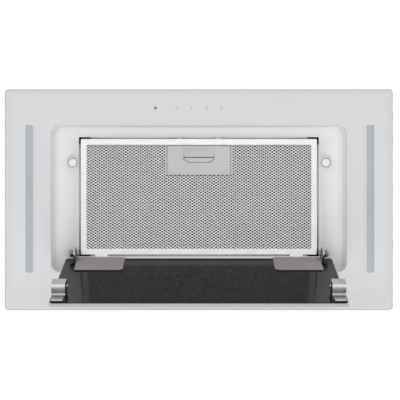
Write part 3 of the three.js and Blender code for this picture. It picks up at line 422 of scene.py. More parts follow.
lamps = {
    "front": {
        "place": (0, -0.3, -2.36),
        "aim": (0, -0.3, 0),
        "size": (1.9, 1.2),
        "power": 6.7,
        "mirrored": True,
    },
    "wide": {"place": (0, 0, -2.3), "size": (5.5, 5.5), "power": 2.5},
    "rear": {"place": (0, 2.0, -2.0), "size": (2.2, 2.2), "power": 40},
    "left": {"place": (-2.4, 0, -1.0), "size": (1.6, 1.6), "power": 10},
    "right": {"place": (2.4, 0, -1.0), "size": (1.6, 1.6), "power": 10},
    "low": {"place": (0, -2.2, -1.4), "size": (2.0, 2.0), "power": 10},
    "above": {"place": (-1.4, -1.6, 2.2), "aim": (0, 0, 0.1), "size": (3.0, 3.0), "power": 45},
}


def softLamp(name, place, size, power, aim=(0, 0, 0), mirrored=False):
    lamp = added("lamp_" + name, bpy.data.lights.new(name, "AREA"))
    lamp.data.shape = "RECTANGLE"
    lamp.data.size, lamp.data.size_y = size
    lamp.data.energy = power
    lamp.location = place
    lamp.rotation_mode = "QUATERNION"
    lamp.rotation_quaternion = (Vector(aim) - Vector(place)).to_track_quat("-Z", "Y")
    lamp.visible_camera = False
    lamp.visible_glossy = mirrored


for name, values in lamps.items():
    softLamp(name, **values)


def whiteWorld():  # white behind the object and in its reflections, softer as a light
    sky = {"seen": 1.0, "light": 0.45}
    world = bpy.data.worlds.new("plain_white")
    bpy.context.scene.world = world
    board = Finish("plain_white", world)
    kinds = [f"Is {kind} Ray" for kind in ("Camera", "Glossy", "Transmission")]
    straight, mirror, glass = (board.node("ShaderNodeLightPath", output=kind) for kind in kinds)
    seen = straight.math("MAXIMUM", mirror).math("MAXIMUM", glass)
    values = {"Value": seen, "To Min": sky["light"], "To Max": sky["seen"]}
    strength = board.node("ShaderNodeMapRange", {}, values)
    shine = board.node("ShaderNodeBackground", {}, {"Color": (1, 1, 1, 1), "Strength": strength})
    board.node("ShaderNodeOutputWorld", {}, {"Surface": shine}, None)


def paleFloor():
    ground = {"z": -3.4, "size": 24, "dark": 0.86, "light": 0.88, "rough": 0.9}
    board = Finish("pale_floor")
    dark, pale = ((ground[key],) * 3 for key in ("dark", "light"))
    colour = board.ramp(board.cloud(3, 2), (0.3, dark), (0.7, pale))
    board.surface({"Base Color": colour, "Roughness": ground["rough"]})
    bm = bmesh.new()
    wide = ground["size"]
    cap(bm, [ring(bm, roundRect(wide, wide, 0.45 * wide, steps=16), ground["z"])], True)
    mesh = bpy.data.meshes.new("floor")
    bm.to_mesh(mesh)
    bm.free()
    mesh.materials.append(board.material)
    floor = added("floor", mesh)


whiteWorld()
paleFloor()
bpy.context.scene.view_settings.view_transform = "Standard"
print("camera and light set")


def reach(spots):  # the lowest and the highest corner of what the points fill
    return [Vector(kind(spot[axis] for spot in spots) for axis in range(3)) for kind in (min, max)]


# face glass, with polished edges
face = {
    "corner": 0.005,
    "mouthCorner": 0.0115,
    "panFlange": 0.012,
    "arris": 0.0011,
    "mouthArris": 0.0005,
    "lampArris": 0.00012,
    "lampGap": 0.0001,
    "lampCorner": 0.0008,
    "lampStep": 0.0005,  # a lamp cover fills its slot up to this far below the back of the glass
    "bevel": [(0, 1), (0.12, 0.5), (0.45, 0.12), (1, 0)],  # height and inset, as shares of the arris
}
panLow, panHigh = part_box("recess_pan")
mouthWidth = panHigh.x - panLow.x - 2 * face["panFlange"]
mouthDepth = panHigh.y - panLow.y - 2 * face["panFlange"]
mouthY = (panLow.y + panHigh.y) / 2


def lampSlot(cover):
    level = faceHigh.z - face["lampStep"]
    low, high = reach([vert.co for vert in nodes[cover].data.vertices if vert.co.z < level])
    middle = (low + high) / 2
    width, depth = (side + 2 * face["lampGap"] for side in (high - low).xy)
    return rectOutline(width, depth, face["lampCorner"], middle.x, middle.y, 3)


def faceGlass():
    size = faceHigh - faceLow
    outer = rectOutline(size.x, size.y, face["corner"], 0, (faceLow.y + faceHigh.y) / 2, 10)
    mouth = rectOutline(mouthWidth, mouthDepth, face["mouthCorner"], 0, mouthY, 12)
    edges = [(outer, 1, "arris"), (mouth, -1, "mouthArris")]
    edges += [(lampSlot("lamp_cover_" + side), -1, "lampArris") for side in ("right", "left")]
    bm = bmesh.new()
    chains = []
    for line, sign, kind in edges:
        arris = face[kind]
        rows = [ring(bm, line(sign * inset * arris), faceLow.z + up * arris) for up, inset in face["bevel"]]
        rows.append(ring(bm, line(0), faceHigh.z))
        for made in walls(bm, rows):
            made.material_index = 0 if kind == "mouthArris" else 1  # white backing in the mouth
        chains.append(rows)
    cap(bm, [rows[0] for rows in chains], False)
    cap(bm, [rows[-1] for rows in chains], True)
    piece = pieceOf("face_glass_pane", bm, "white_glass", smooth=50, edge="glass_edge")
    standsFor(piece, "hood", "white_glass", "face_glass")


faceGlass()
print("face glass made")


# recess pan: one pressed sheet with rolled corners, and lips round the filter
pan = {
    "sheet": 0.001,
    "shrink": 0.98,  # share of the sheet that is drawn, to stay inside the CAD pan
    "draft": (math.radians(3.6), math.radians(1.2)),  # of the side walls, and of the front and rear walls
    "brim": [(0, 0.0005), (0.0004, 0.0001)],  # rise and reach where the wall leaves the flange
    "fillet": 0.0026,
    "steps": 6,
    "lip": [(0.0003, 0.0), (0.001, 0.00012), (0.0031, 0.0019), (0.0036, 0.0021)],  # rise and lean
    "reliefX": 0.0154,
    "reliefY": 0.01,
    "gap": 0.0026,
    "tab": (0.1335, 0.0176),  # middle and width of what passes between two lips
    "tongue": (0.0265, 0.008),
    "clear": 0.0003,
    "earHalf": 0.0072,  # of the slot for a hinge ear
    "earWidth": 0.0018,
}
filterLow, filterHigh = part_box("filter_frame")
hinge = joints["panel_hinge"]


def openingLoop(width, depth, y):  # points anticlockwise, and whether a lip starts at each
    stops = []
    for outX, outY, passing in ((1, 0, None), (0, 1, "tab"), (-1, 0, None), (0, -1, "tongue")):
        half, relief = (depth / 2, pan["reliefY"]) if outX else (width / 2, pan["reliefX"])
        ends = [half - relief]
        if passing:
            middle, wide = pan[passing]
            ends = [middle - wide / 2 - pan["clear"], middle + wide / 2 + pan["clear"], *ends]
        sideX, sideY = outX * width / 2, y + outY * depth / 2
        for index, place in enumerate([-half, *(-end for end in reversed(ends)), *ends]):
            stops.append((Vector((sideX - outY * place, sideY + outX * place)), index % 2 == 1))
    return stops


def earSlots(bm):
    earLow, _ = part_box("hinge_ear_right")
    pinY = Vector(hinge["pos_m"]).y
    front, rear = pinY - pan["earHalf"], pinY + pan["earHalf"]
    slots = []
    for side in (1, -1):
        near, far = side * (earLow.x - pan["clear"]), side * (earLow.x + pan["earWidth"])
        slots.append(ring(bm, [(near, front), (far, front), (far, rear), (near, rear)], filterLow.z))
    return slots


def panLips(bm, hole, stops):  # from the edge of the hole, each rises and leans toward the filter
    for index, (_, lip) in enumerate(stops):
        if not lip:
            continue
        edge = pair = [hole[index], hole[(index + 1) % len(hole)]]
        along = (edge[1].co - edge[0].co).normalized()
        inward = Vector((-along.y, along.x, 0))
        for rise, lean in pan["lip"]:
            shift = inward * lean + Vector((0, 0, filterLow.z + rise))
            higher = [bm.verts.new(vert.co.xy.to_3d() + shift) for vert in edge]
            bm.faces.new([pair[0], pair[1], higher[1], higher[0]])
            pair = higher


def recessPan():
    padLow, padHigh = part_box("filter_pad")
    bar = padLow.x - filterLow.x
    frontY, rearY = padLow.y - bar, padHigh.y + bar
    top, mouthZ, fillet = filterLow.z, faceHigh.z, pan["fillet"]
    slopeX, slopeY = (math.tan(angle) for angle in pan["draft"])

    def loop(z, inset):  # the pan's wall at a height, and how far its fillet reaches in there
        rise = max(z - mouthZ, 0)
        x, y = slopeX * rise + inset, slopeY * rise + inset
        return roundRect(mouthWidth - 2 * x, mouthDepth - 2 * y, face["mouthCorner"] - y, 0, mouthY, 12)

    profile = [(mouthZ, -face["panFlange"])]
    profile += [(mouthZ + rise, -out) for rise, out in pan["brim"]]
    profile.append((top - fillet, 0))
    for step in range(1, pan["steps"] + 1):
        angle = math.pi / 2 * step / pan["steps"]
        profile.append((top - fillet + fillet * math.sin(angle), fillet * (1 - math.cos(angle))))
    bm = bmesh.new()
    rows = [ring(bm, loop(z, inset), z) for z, inset in profile]
    walls(bm, rows)
    room = 2 * pan["gap"]
    stops = openingLoop(filterHigh.x - filterLow.x + room, rearY - frontY + room, (frontY + rearY) / 2)
    hole = ring(bm, [point for point, _ in stops], top)
    cap(bm, [rows[-1], hole, *earSlots(bm)], False)
    panLips(bm, hole, stops)
    piece = pieceOf("recess_pan_sheet", bm, "white_paint", smooth=40)
    thick = piece.modifiers.new("sheet", "SOLIDIFY")
    thick.thickness = pan["sheet"] * pan["shrink"]
    thick.offset = -1
    thick.use_even_offset = True
    standsFor(piece, "hood", "white_paint", "recess_pan")


recessPan()
print("recess pan made")


# plastic latch of the filter, with a finger cup
latch = {
    "flange": 0.003,
    "flangeCorner": 0.001,
    "flangeLift": 0.0029,
    "flangeSheet": 0.0006,
    "corner": 0.0024,
    "face": [(0.0, 0.0009), (0.00013, 0.0004), (0.00045, 0.0001), (0.0009, 0)],  # height and inset
    "wall": 0.0012,
    "sheet": 0.0016,
    "inset": 0.0013,  # from the front bar
    "bar": 0.0079,
    "cupInset": 0.003,
    "cupWidth": 0.0424,
    "cupDepth": 0.0202,
    "cupCorner": 0.0024,
    "cupCut": (0.0066, 0.0046),
    "cupSoft": 0.0028,
    "cupEdge": [(0.0, 0.0004), (0.00006, 0.00016), (0.0002, 0.00004), (0.0004, 0)],
    "clear": 0.0003,
}
slider = {
    "floor": 0.0012,
    "corner": 0.001,
    "slot": 0.0011,  # dark gap in front of the lip
    "slotReach": 0.001,  # of the gap, on under the scoop
    "slotCorner": 0.0003,
    "lipDepth": 0.0066,
    "lipEdge": [(0, 0.0004), (0.0001, 0.00015), (0.0004, 0)],
    "lipStart": 0.0002,
    "tongue": (0.0265, 0.008, 0.0014),
    "tongueCorner": 0.0008,
    "tongueSoft": 0.0003,
    "post": 0.003,
    "postCorner": 0.0004,
}
scoop = {
    "rise": 0.0002,  # above the face, at the front of the cup
    "sheet": 0.0008,
    "rows": 18,
    "columns": 24,
    "crowd": 1.6,  # draws the rows together at the front, where it is steep
    "slope": 2.4,
    "dish": 14,
}
plateLow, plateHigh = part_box("latch_plate")
latchWidth = plateHigh.x - plateLow.x - 2 * latch["flange"]
latchFront = filterLow.y + latch["bar"] + latch["inset"]
latchRear = plateHigh.y - latch["flange"]
cupFront = latchFront + latch["cupInset"]
sliderLow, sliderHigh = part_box("latch_slider")
sliderFloor = sliderHigh.z - slider["floor"]
lipFront = cupFront + latch["cupDepth"] - latch["clear"] - slider["lipDepth"]


def cupOutline(grow):
    half = latch["cupWidth"] / 2 + grow
    front, rear = cupFront - grow, cupFront + latch["cupDepth"] + grow
    cutX, cutY = latch["cupCut"]
    slant = math.hypot(cutX, cutY)
    backX = cutX - grow * (slant - cutX) / cutY  # keeps the cut corner parallel as it grows
    backY = cutY - grow * (slant - cutY) / cutX
    right = [(half, front), (half, rear - backY), (half - backX, rear)]
    corners = [Vector(corner) for corner in right] + [Vector((-x, y)) for x, y in reversed(right)]
    radius, soft = latch["cupCorner"] + grow, latch["cupSoft"] + grow
    return roundedCorners(corners, [radius, soft, soft, soft, soft, radius])


def latchPlate():
    front, z = plateLow.y, plateLow.z
    middle = (latchFront + latchRear) / 2
    outline = rectOutline(latchWidth, latchRear - latchFront, latch["corner"], 0, middle, 6)
    wideX, wideY = latchWidth + 2 * latch["flange"], latchRear - front
    wide = roundRect(wideX, wideY, latch["flangeCorner"], 0, (latchRear + front) / 2, 6)
    low, back = z + latch["flangeLift"], z + latch["sheet"]
    high = low + latch["flangeSheet"]
    steps = [(outline(0), low), (wide, low), (wide, high), (outline(0), high), (outline(0), plateHigh.z)]
    steps += [(outline(latch["wall"]), plateHigh.z), (outline(latch["wall"]), back)]
    bm = bmesh.new()
    rows = [ring(bm, outline(inset), z + rise) for rise, inset in latch["face"]]
    rows += [ring(bm, line, level) for line, level in steps]
    hole = [ring(bm, cupOutline(grow), z + rise) for rise, grow in latch["cupEdge"]]
    hole.append(ring(bm, cupOutline(0), back))
    walls(bm, rows)
    walls(bm, hole)
    cap(bm, [rows[0], hole[0]], False)
    cap(bm, [rows[-1], hole[-1]], True)
    piece = pieceOf("latch_face", bm, "latch_grey", smooth=40)
    standsFor(piece, "filter", "latch_grey", "latch_plate")


def latchScoop():  # the finger cup slopes down to the slot in front of the slider's lip
    top = plateLow.z + scoop["rise"]
    fall = sliderFloor - latch["clear"] - scoop["sheet"] - top
    front, rear = cupFront, lipFront - slider["slot"]
    radius, half = latch["cupCorner"], latch["cupWidth"] / 2
    rows, columns = scoop["rows"], scoop["columns"]
    bm = bmesh.new()
    upper, lower = [], []
    for row in range(rows + 1):
        along = (row / rows) ** scoop["crowd"]
        y = front + (rear - front) * along
        bend = max(0.0, 1 - (y - front) / radius)
        width = half - radius * (1 - math.sqrt(max(0.0, 1 - bend * bend)))
        upper.append([])
        lower.append([])
        for column in range(columns + 1):
            across = math.sin((2 * column / columns - 1) * math.pi / 2)
            dish = math.sqrt(max(0.0, 1 - abs(across) ** scoop["dish"]))
            z = top + fall * (1 - (1 - along) ** scoop["slope"]) * dish
            upper[-1].append(bm.verts.new((across * width, y, z)))
            lower[-1].append(bm.verts.new((across * width, y, z + scoop["sheet"])))
    for row in range(rows):
        for column in range(columns):
            square = ((row, column), (row, column + 1), (row + 1, column + 1), (row + 1, column))
            bm.faces.new([upper[a][b] for a, b in square])
            bm.faces.new([lower[a][b] for a, b in reversed(square)])
    border = [(0, column) for column in range(columns)] + [(row, columns) for row in range(rows)]
    border += [(rows, column) for column in range(columns, 0, -1)]
    border += [(row, 0) for row in range(rows, 0, -1)]
    wall(bm, *([grid[row][column] for row, column in border] for grid in (upper, lower)))
    standsFor(pieceOf("latch_scoop", bm, "latch_grey", smooth=50), "filter", "latch_grey")


def latchSlider():  # floor with a slot through it, the lip that the fingers pull, and two tongues
    low, high = sliderLow, sliderHigh
    start = latchFront + latch["wall"] + latch["clear"]
    half = latch["cupWidth"] / 2 - latch["clear"]
    bm = bmesh.new()
    outer = rectOutline(high.x - low.x, high.y - start, slider["corner"], 0, (high.y + start) / 2, 3)
    front = lipFront - slider["slot"] - slider["slotReach"]
    hole = rectOutline(2 * half, lipFront - front, slider["slotCorner"], 0, (lipFront + front) / 2, 3)
    rows = [[ring(bm, line(0), z) for z in (sliderFloor, high.z)] for line in (outer, hole)]
    for row in rows:
        wall(bm, *row)
    cap(bm, [row[0] for row in rows], False)
    cap(bm, [row[1] for row in rows], True)

    def lip(inset):
        edge = lipFront + inset
        rear = [spot for spot in cupOutline(-latch["clear"] - inset) if spot.y > edge + slider["lipStart"]]
        side = max(spot.x for spot in rear)
        return [Vector((-side, edge)), Vector((side, edge)), *rear]

    prism(bm, lip, [(low.z + rise, inset) for rise, inset in slider["lipEdge"]] + [(sliderFloor, 0)])
    offset, width, thick = slider["tongue"]
    depth = slider["post"]
    for x in (offset, -offset):
        length, middle = start + depth - low.y, (start + depth + low.y) / 2
        tongue = rectOutline(width, length, slider["tongueCorner"], x, middle, 3)
        prism(bm, tongue, softLevels(low.z, low.z + thick, slider["tongueSoft"]))
        post = rectOutline(width, depth, slider["postCorner"], x, start + depth / 2, 3)
        prism(bm, post, [(low.z + thick, 0), (sliderFloor, 0)])
    standsFor(pieceOf("latch_lip", bm, "latch_grey", smooth=40), "latch", "latch_grey", "latch_slider")


spring = {"folds": 5, "sheet": 0.0005, "steps": 8}


def latchSpring():  # folded to and fro behind the slider; the real spring is pressed together as the slider is drawn, while this piece keeps its rest shape
    low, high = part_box("latch_spring")
    folds, steps, sheet = spring["folds"], spring["steps"], spring["sheet"]
    pitch = (high.y - low.y) / folds
    half = high.x - sheet - pitch / 2
    line = []
    for fold in range(folds + 1):
        side, y = (1 if fold % 2 else -1), low.y + pitch * fold
        line.append(Vector((-side * half, y)))
        if fold == folds:
            line.append(Vector((side * half, y)))
            continue
        for turn in (math.pi * step / steps for step in range(steps)):
            x = side * (half + math.sin(turn) * pitch / 2)
            line.append(Vector((x, y + pitch / 2 * (1 - math.cos(turn)))))
    bm = bmesh.new()
    prism(bm, ribbon(line, sheet), [(low.z, 0), (high.z, 0)])
    piece = pieceOf("slider_spring", bm, "stainless", smooth=50)
    standsFor(piece, "filter", "stainless", "latch_spring")
    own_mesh(piece)


latchPlate()
latchScoop()
latchSlider()
latchSpring()
print("latch made")


# expanded mesh behind the window of the filter, with its strands tilted
mesh = {
    "pitchX": 0.0059,
    "pitchY": 0.00384,
    "open": 0.6,
    "bulge": 0.12,
    "tilt": 0.00018,  # rise of a strand's edge over its middle
    "bondTilt": 0.0004,
    "bond": 0.0001,
    "sheet": 0.0002,
    "lift": 0.0009,
    "scrap": 1e-10,  # area of a face too small to keep
}


def meshCell(point, x, y):  # a ring of eight faces round one opening of the mesh
    halfX, halfY, share = mesh["pitchX"] / 2, mesh["pitchY"] / 2, mesh["open"]
    wide = share * (1 + mesh["bulge"])
    outer, inner = [], []
    for cornerX, cornerY in ((1, 0), (0, 1), (-1, 0), (0, -1)):
        middleX, middleY = (cornerX - cornerY) / 2, (cornerY + cornerX) / 2
        outer.append(point(x + cornerX * halfX, y + cornerY * halfY, -mesh["bond"]))
        outer.append(point(x + middleX * halfX, y + middleY * halfY, 0))
        lean = mesh["bondTilt"] * cornerY
        inner.append(point(x + cornerX * halfX * share, y + cornerY * halfY * share, lean))
        lean = math.copysign(mesh["tilt"], middleY)
        inner.append(point(x + middleX * halfX * wide, y + middleY * halfY * wide, lean))
    for index in range(8):
        after = (index + 1) % 8
        yield [outer[index], outer[after], inner[after], inner[index]]


def frontMesh():
    low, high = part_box("front_mesh_outer")
    halfX, halfY = mesh["pitchX"] / 2, mesh["pitchY"] / 2
    middle = (low + high) / 2
    countX = math.ceil((high.x - low.x) / 2 / halfX) + 1
    countY = math.ceil((high.y - low.y) / 2 / halfY) + 1
    z = low.z + mesh["lift"]
    roomX, roomY = latchWidth / 2 + latch["clear"], latchRear + latch["clear"]
    bm = bmesh.new()
    made = {}

    def point(x, y, height):
        x = min(max(x, low.x), high.x)
        y = min(max(y, low.y), high.y)
        key = (round(x * 1e6), round(y * 1e6))
        if key not in made:
            made[key] = bm.verts.new((x, y, z + height))
        return made[key]

    def byLatch(face, spareX=0.0, spareY=0.0):
        spot = face.calc_center_median()
        return abs(spot.x) < roomX + spareX and spot.y < roomY + spareY

    for i in range(-countX, countX + 1):
        for j in range(-countY, countY + 1):
            x, y = middle.x + i * halfX, middle.y + j * halfY
            inside = low.x - halfX < x < high.x + halfX and low.y - halfY < y < high.y + halfY
            behind = abs(x) < roomX - halfX and y < roomY - halfY  # the latch
            if (i + j) % 2 or behind or not inside:
                continue
            for corners in meshCell(point, x, y):
                if len(set(corners)) == 4 and not bm.faces.get(corners):
                    bm.faces.new(corners)
    cuts = [((roomX, 0, 0), (1, 0, 0)), ((-roomX, 0, 0), (1, 0, 0)), ((0, roomY, 0), (0, 1, 0))]
    for spot, normal in cuts:
        near = [one for one in bm.faces if byLatch(one, halfX, halfY)]
        lines = {line for one in near for line in (*one.verts, *one.edges)}
        bmesh.ops.bisect_plane(bm, geom=[*near, *lines], plane_co=spot, plane_no=normal, dist=1e-6)
    spare = [one for one in bm.faces if one.calc_area() < mesh["scrap"] or byLatch(one)]
    bmesh.ops.delete(bm, geom=spare, context="FACES")
    piece = pieceOf("expanded_mesh", bm, "mesh_aluminium", smooth=80)
    thick = piece.modifiers.new("sheet", "SOLIDIFY")
    thick.thickness = mesh["sheet"]
    thick.offset = 0
    standsFor(piece, "filter", "filter_aluminium", "front_mesh_outer", "front_mesh_inner")
    print("mesh made,", len(piece.data.polygons), "faces")


def filterPad():  # knitted foil layer behind the mesh, thin where the latch is let into it; its near-black colour is painted shade of the foil's depth
    wool = {"front": 0.0013, "thin": 0.0002}
    low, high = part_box("filter_pad")
    room = latch["flange"] + latch["clear"]
    x, y = latchWidth / 2 + room, latchRear + room
    outline = [(x, low.y), (high.x, low.y), (high.x, high.y), (low.x, high.y), (low.x, low.y)]
    outline += [(-x, low.y), (-x, y), (x, y)]
    bm = bmesh.new()
    prism(bm, outline, [(low.z + wool["front"], 0), (high.z, 0)])
    thin = [(x, low.y), (x, y), (-x, y), (-x, low.y)]
    prism(bm, thin, [(high.z - wool["thin"], 0), (high.z, 0)])
    standsFor(pieceOf("knitted_pad", bm, "filter_wool"), "filter", "filter_wool", "filter_pad")


frontMesh()
filterPad()
print("filter pad made")


# pot magnets that hold the panel shut
magnet = {
    "cup": 0.0075,
    "radius": 0.0055,
    "depth": 0.003,
    "ring": 0.0063,
    "sunk": 0.0006,
    "soft": 0.0003,
    "steps": 12,
    "shift": {"left": 0.0011, "right": 0.0002},
}


def potMagnet(side):
    low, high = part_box("magnet_cup_" + side)
    x, y = (low.x + high.x) / 2 + magnet["shift"][side], (low.y + high.y) / 2

    def outline(kind):
        return lambda inset: circle(magnet[kind] - inset, x, y, magnet["steps"])

    cup, core, disc = bmesh.new(), bmesh.new(), bmesh.new()
    prism(cup, outline("cup"), softLevels(low.z, high.z, magnet["soft"]), outline("ring"))
    piece = pieceOf("magnet_pot_" + side, cup, "magnet_cup")
    standsFor(piece, "hood", "white_plastic", "magnet_cup_" + side)
    # a steel ring round the disc, darker than its steel: painted shade of the groove between disc and pot
    prism(core, outline("ring"), [(low.z + magnet["sunk"], 0), (high.z, 0)])
    standsFor(pieceOf("magnet_rim_" + side, core, "steel_painted_shade"), "hood", "stainless")
    prism(disc, outline("radius"), softLevels(low.z, low.z + magnet["depth"], magnet["soft"]))
    piece = pieceOf("magnet_face_" + side, disc, "magnet_face")
    standsFor(piece, "hood", "magnet_face", "magnet_disc_" + side)


potMagnet("left")
potMagnet("right")
print("magnets made")


# what rides on the panel is drawn with the panel shut, from its hinge pin
shutTurn = Matrix.Rotation(-math.radians(min(hinge["range_deg"])), 4, "X")
openPanel = Matrix.Translation(hinge["pos_m"]) @ shutTurn
shutPanel = openPanel.inverted()
sideways = Matrix(((0, 0, 1), (1, 0, 0), (0, 1, 0))).to_4x4()  # for what is drawn in Y and Z


def shutBox(name):
    return reach([shutPanel @ vert.co for vert in nodes[name].data.vertices])


def onPanel(name, bm, finish, slot, *cadNodes):
    standsFor(pieceOf(name, bm, finish, smooth=40, place=openPanel), "panel", slot, *cadNodes)


# the panel's glass, with ground edges
def panelPane():
    pane = {"corner": 0.004, "arris": 0.0006, "film": 0.0012}
    low, high = shutBox("panel_glass")
    size = high - low
    outline = rectOutline(size.x, size.y, pane["corner"], 0, (low.y + high.y) / 2, 8)
    arris = pane["arris"]
    levels = [(low.z + up * arris, inset * arris) for up, inset in roundEnd]
    levels += [(high.z - arris / 2, 0), (high.z, arris / 2)]
    bm = bmesh.new()
    rows = [ring(bm, outline(inset), z) for z, inset in levels]
    for made in walls(bm, rows):
        made.material_index = 1
    cap(bm, [rows[0]], False)
    cap(bm, [rows[-1]], True)
    piece = pieceOf("panel_pane", bm, "white_glass", smooth=50, edge="glass_edge", place=openPanel)
    standsFor(piece, "panel", "white_glass", "panel_glass")
    low, high = shutBox("panel_lining")
    far = high.y + pane["film"]
    sheet = rectOutline(high.x - low.x, far - low.y, pane["corner"], 0, (low.y + far) / 2, 8)
    film = bmesh.new()
    prism(film, sheet, [(low.z, 0), (high.z, 0)])
    onPanel("panel_film", film, "dark_lining", "dark_lining", "panel_lining")


# hinge leaves: a plate on a black sheet that is a painted shadow of the gap under it, and an ear round the pin
leaf = {
    "plateSide": 0.0022,  # from the ear's outer face
    "top": 0.0015,  # above the panel
    "sheet": 0.0008,
    "corner": 0.0068,
    "outerCorner": 0.0028,
    "rearCorner": 0.0005,
    "notchCorner": 0.0004,
    "ear": 0.001,
    "earFrom": 0.0005,
    "earGap": 0.0002,
    "earLift": 0.0004,
    "earFoot": 0.0095,
    "earRadius": 0.006,
    "earTurn": math.radians(150),
    "earSteps": 12,
    "bore": 0.0028,
}


def hingeLeaf(side, sign):
    low, high = shutBox("hinge_leaf_" + side)
    outer, inner = (high.x, low.x) if sign > 0 else (low.x, high.x)
    edge, tab = outer - sign * leaf["plateSide"], outer - sign * (leaf["earFrom"] + leaf["earGap"])
    top, near, far, foot = low.z + leaf["top"], low.y, high.y, -leaf["earFoot"]
    corners = [(edge, near), (inner, near), (inner, far), (tab, far), (tab, foot), (edge, foot)]
    radii = [leaf["outerCorner"], leaf["corner"], *2 * [leaf["rearCorner"]], *2 * [leaf["notchCorner"]]]
    outline = roundedCorners([Vector(corner) for corner in corners[::-sign]], radii[::-sign])
    plate, pad, ear = bmesh.new(), bmesh.new(), bmesh.new()
    under = low.z + leaf["earLift"]
    shape = [Vector((foot, under)), Vector((far, under)), Vector((far, top))]
    for step in range(leaf["earSteps"] + 1):
        angle = leaf["earTurn"] * step / leaf["earSteps"]
        shape.append(Vector((math.cos(angle), math.sin(angle))) * leaf["earRadius"])
    shape.append(Vector((foot, top)))
    first, last = sorted(outer - sign * (leaf["earFrom"] + sheet) for sheet in (0, leaf["ear"]))
    prism(ear, shape, [(first, 0), (last, 0)], circle(leaf["bore"], 0, 0, 4))
    ear.transform(sideways)
    # the lug is of the leaf's grey sheet, darkened here as painted shade
    onPanel("hinge_lug_" + side, ear, "steel_painted_shade", "leaf_grey")
    prism(plate, outline, [(top - leaf["sheet"], 0), (top, 0)])
    onPanel("hinge_plate_" + side, plate, "leaf_grey", "leaf_grey", "hinge_leaf_" + side)
    # black sheet under the plate: painted shadow of the gap between plate and panel
    prism(pad, outline, [(low.z, 0), (top - leaf["sheet"], 0)])
    onPanel("hinge_pad_" + side, pad, "black_plastic", "black_plastic")


# sprung steel strips of the catches, each ending in a foot on a black sheet, wider than the foot, that is a
# painted contact shadow
catch = {
    "sheet": 0.0007,
    "start": (-0.1155, 0.0064),  # along the panel and above the pin, of the face that is seen
    "bends": [
        (-0.1292, 0.0064), (-0.1308, 0.0064), (-0.1322, 0.0061), (-0.133, 0.005), (-0.1335, 0.0035),
        (-0.134, 0.0018), (-0.1342, 0.0005), (-0.134, -0.001), (-0.1335, -0.003), (-0.1331, -0.005),
        (-0.133, -0.0063), (-0.1333, -0.0073), (-0.1341, -0.0082), (-0.1353, -0.0087), (-0.1364, -0.0088),
    ],
    "bendSteps": 4,
    "pad": 0.0005,
    "padStart": -0.1373,
    "padCorner": 0.0004,
    "foot": 0.0008,
    "footCorner": 0.0012,
    "footSoft": 0.0003,
    "inset": 0.0013,
}


def catchStrip(side):
    low, high = shutBox("catch_strip_" + side)
    line = [Vector(catch["start"]), *curve([Vector(bend) for bend in catch["bends"]], catch["bendSteps"])]
    shape = ribbon(line[::-1], catch["sheet"])
    strip, pad = bmesh.new(), bmesh.new()
    prism(strip, shape, [(low.x, 0), (high.x, 0)])
    strip.transform(sideways)
    x, width = (low.x + high.x) / 2, high.x - low.x
    rear, inset = catch["padStart"], catch["inset"]
    depth = rear - low.y
    middle = rear - (depth - inset) / 2
    foot = rectOutline(width - 2 * inset, depth - inset, catch["footCorner"], x, middle, 5)
    level = low.z + catch["pad"]
    rises = [(0, 0), (0.7 * catch["foot"], 0), (catch["foot"], catch["footSoft"])]
    prism(strip, foot, [(level + rise, soft) for rise, soft in rises])
    onPanel("catch_spring_" + side, strip, "stainless", "stainless", "catch_strip_" + side)
    # black sheet under the foot: painted contact shadow round it
    sheet = rectOutline(width, depth, catch["padCorner"], x, low.y + depth / 2, 3)
    prism(pad, sheet, [(low.z, 0), (level, 0)])
    onPanel("catch_pad_" + side, pad, "black_plastic", "black_plastic")


panelPane()
hingeLeaf("left", -1)
hingeLeaf("right", 1)
catchStrip("left")
catchStrip("right")
print("panel pieces made")


# marks printed over the touch pads
touch = {
    "dot": -0.0442,  # from the middle of the pads
    "sun": -0.0154,
    "digits": {"1": 0.00395, "2": 0.02398, "3": 0.0441},
    "height": 0.0062,
    "capShare": 0.73,  # height of a digit as a share of the size of its type
    "dotRadius": 0.0021,
    "sunRadius": 0.0009,
    "rays": 8,
    "rayEnds": (0.0019, 0.0029),
    "rayWidth": 0.0004,
    "film": 0.00002,
}


def filmOn(bm, points):  # a thin closed body on the glass
    rows = [ring(bm, points, faceLow.z + side * touch["film"]) for side in (-1, 1)]
    wall(bm, *rows)
    bm.faces.new(rows[0][::-1])
    bm.faces.new(rows[1])


def digitOn(bm, digit, place):
    text = bpy.data.curves.new("digit", "FONT")
    text.body = digit
    text.size = touch["height"] / touch["capShare"]
    text.align_x = "CENTER"
    text.align_y = "CENTER"
    text.extrude = touch["film"]
    holder = added("digit", text)
    depsgraph = bpy.context.evaluated_depsgraph_get()
    flat = bpy.data.meshes.new_from_object(holder.evaluated_get(depsgraph))
    flat.transform(Matrix.Translation(place) @ Matrix.Rotation(math.pi, 4, "X"))
    bm.from_mesh(flat)
    bpy.data.objects.remove(holder)


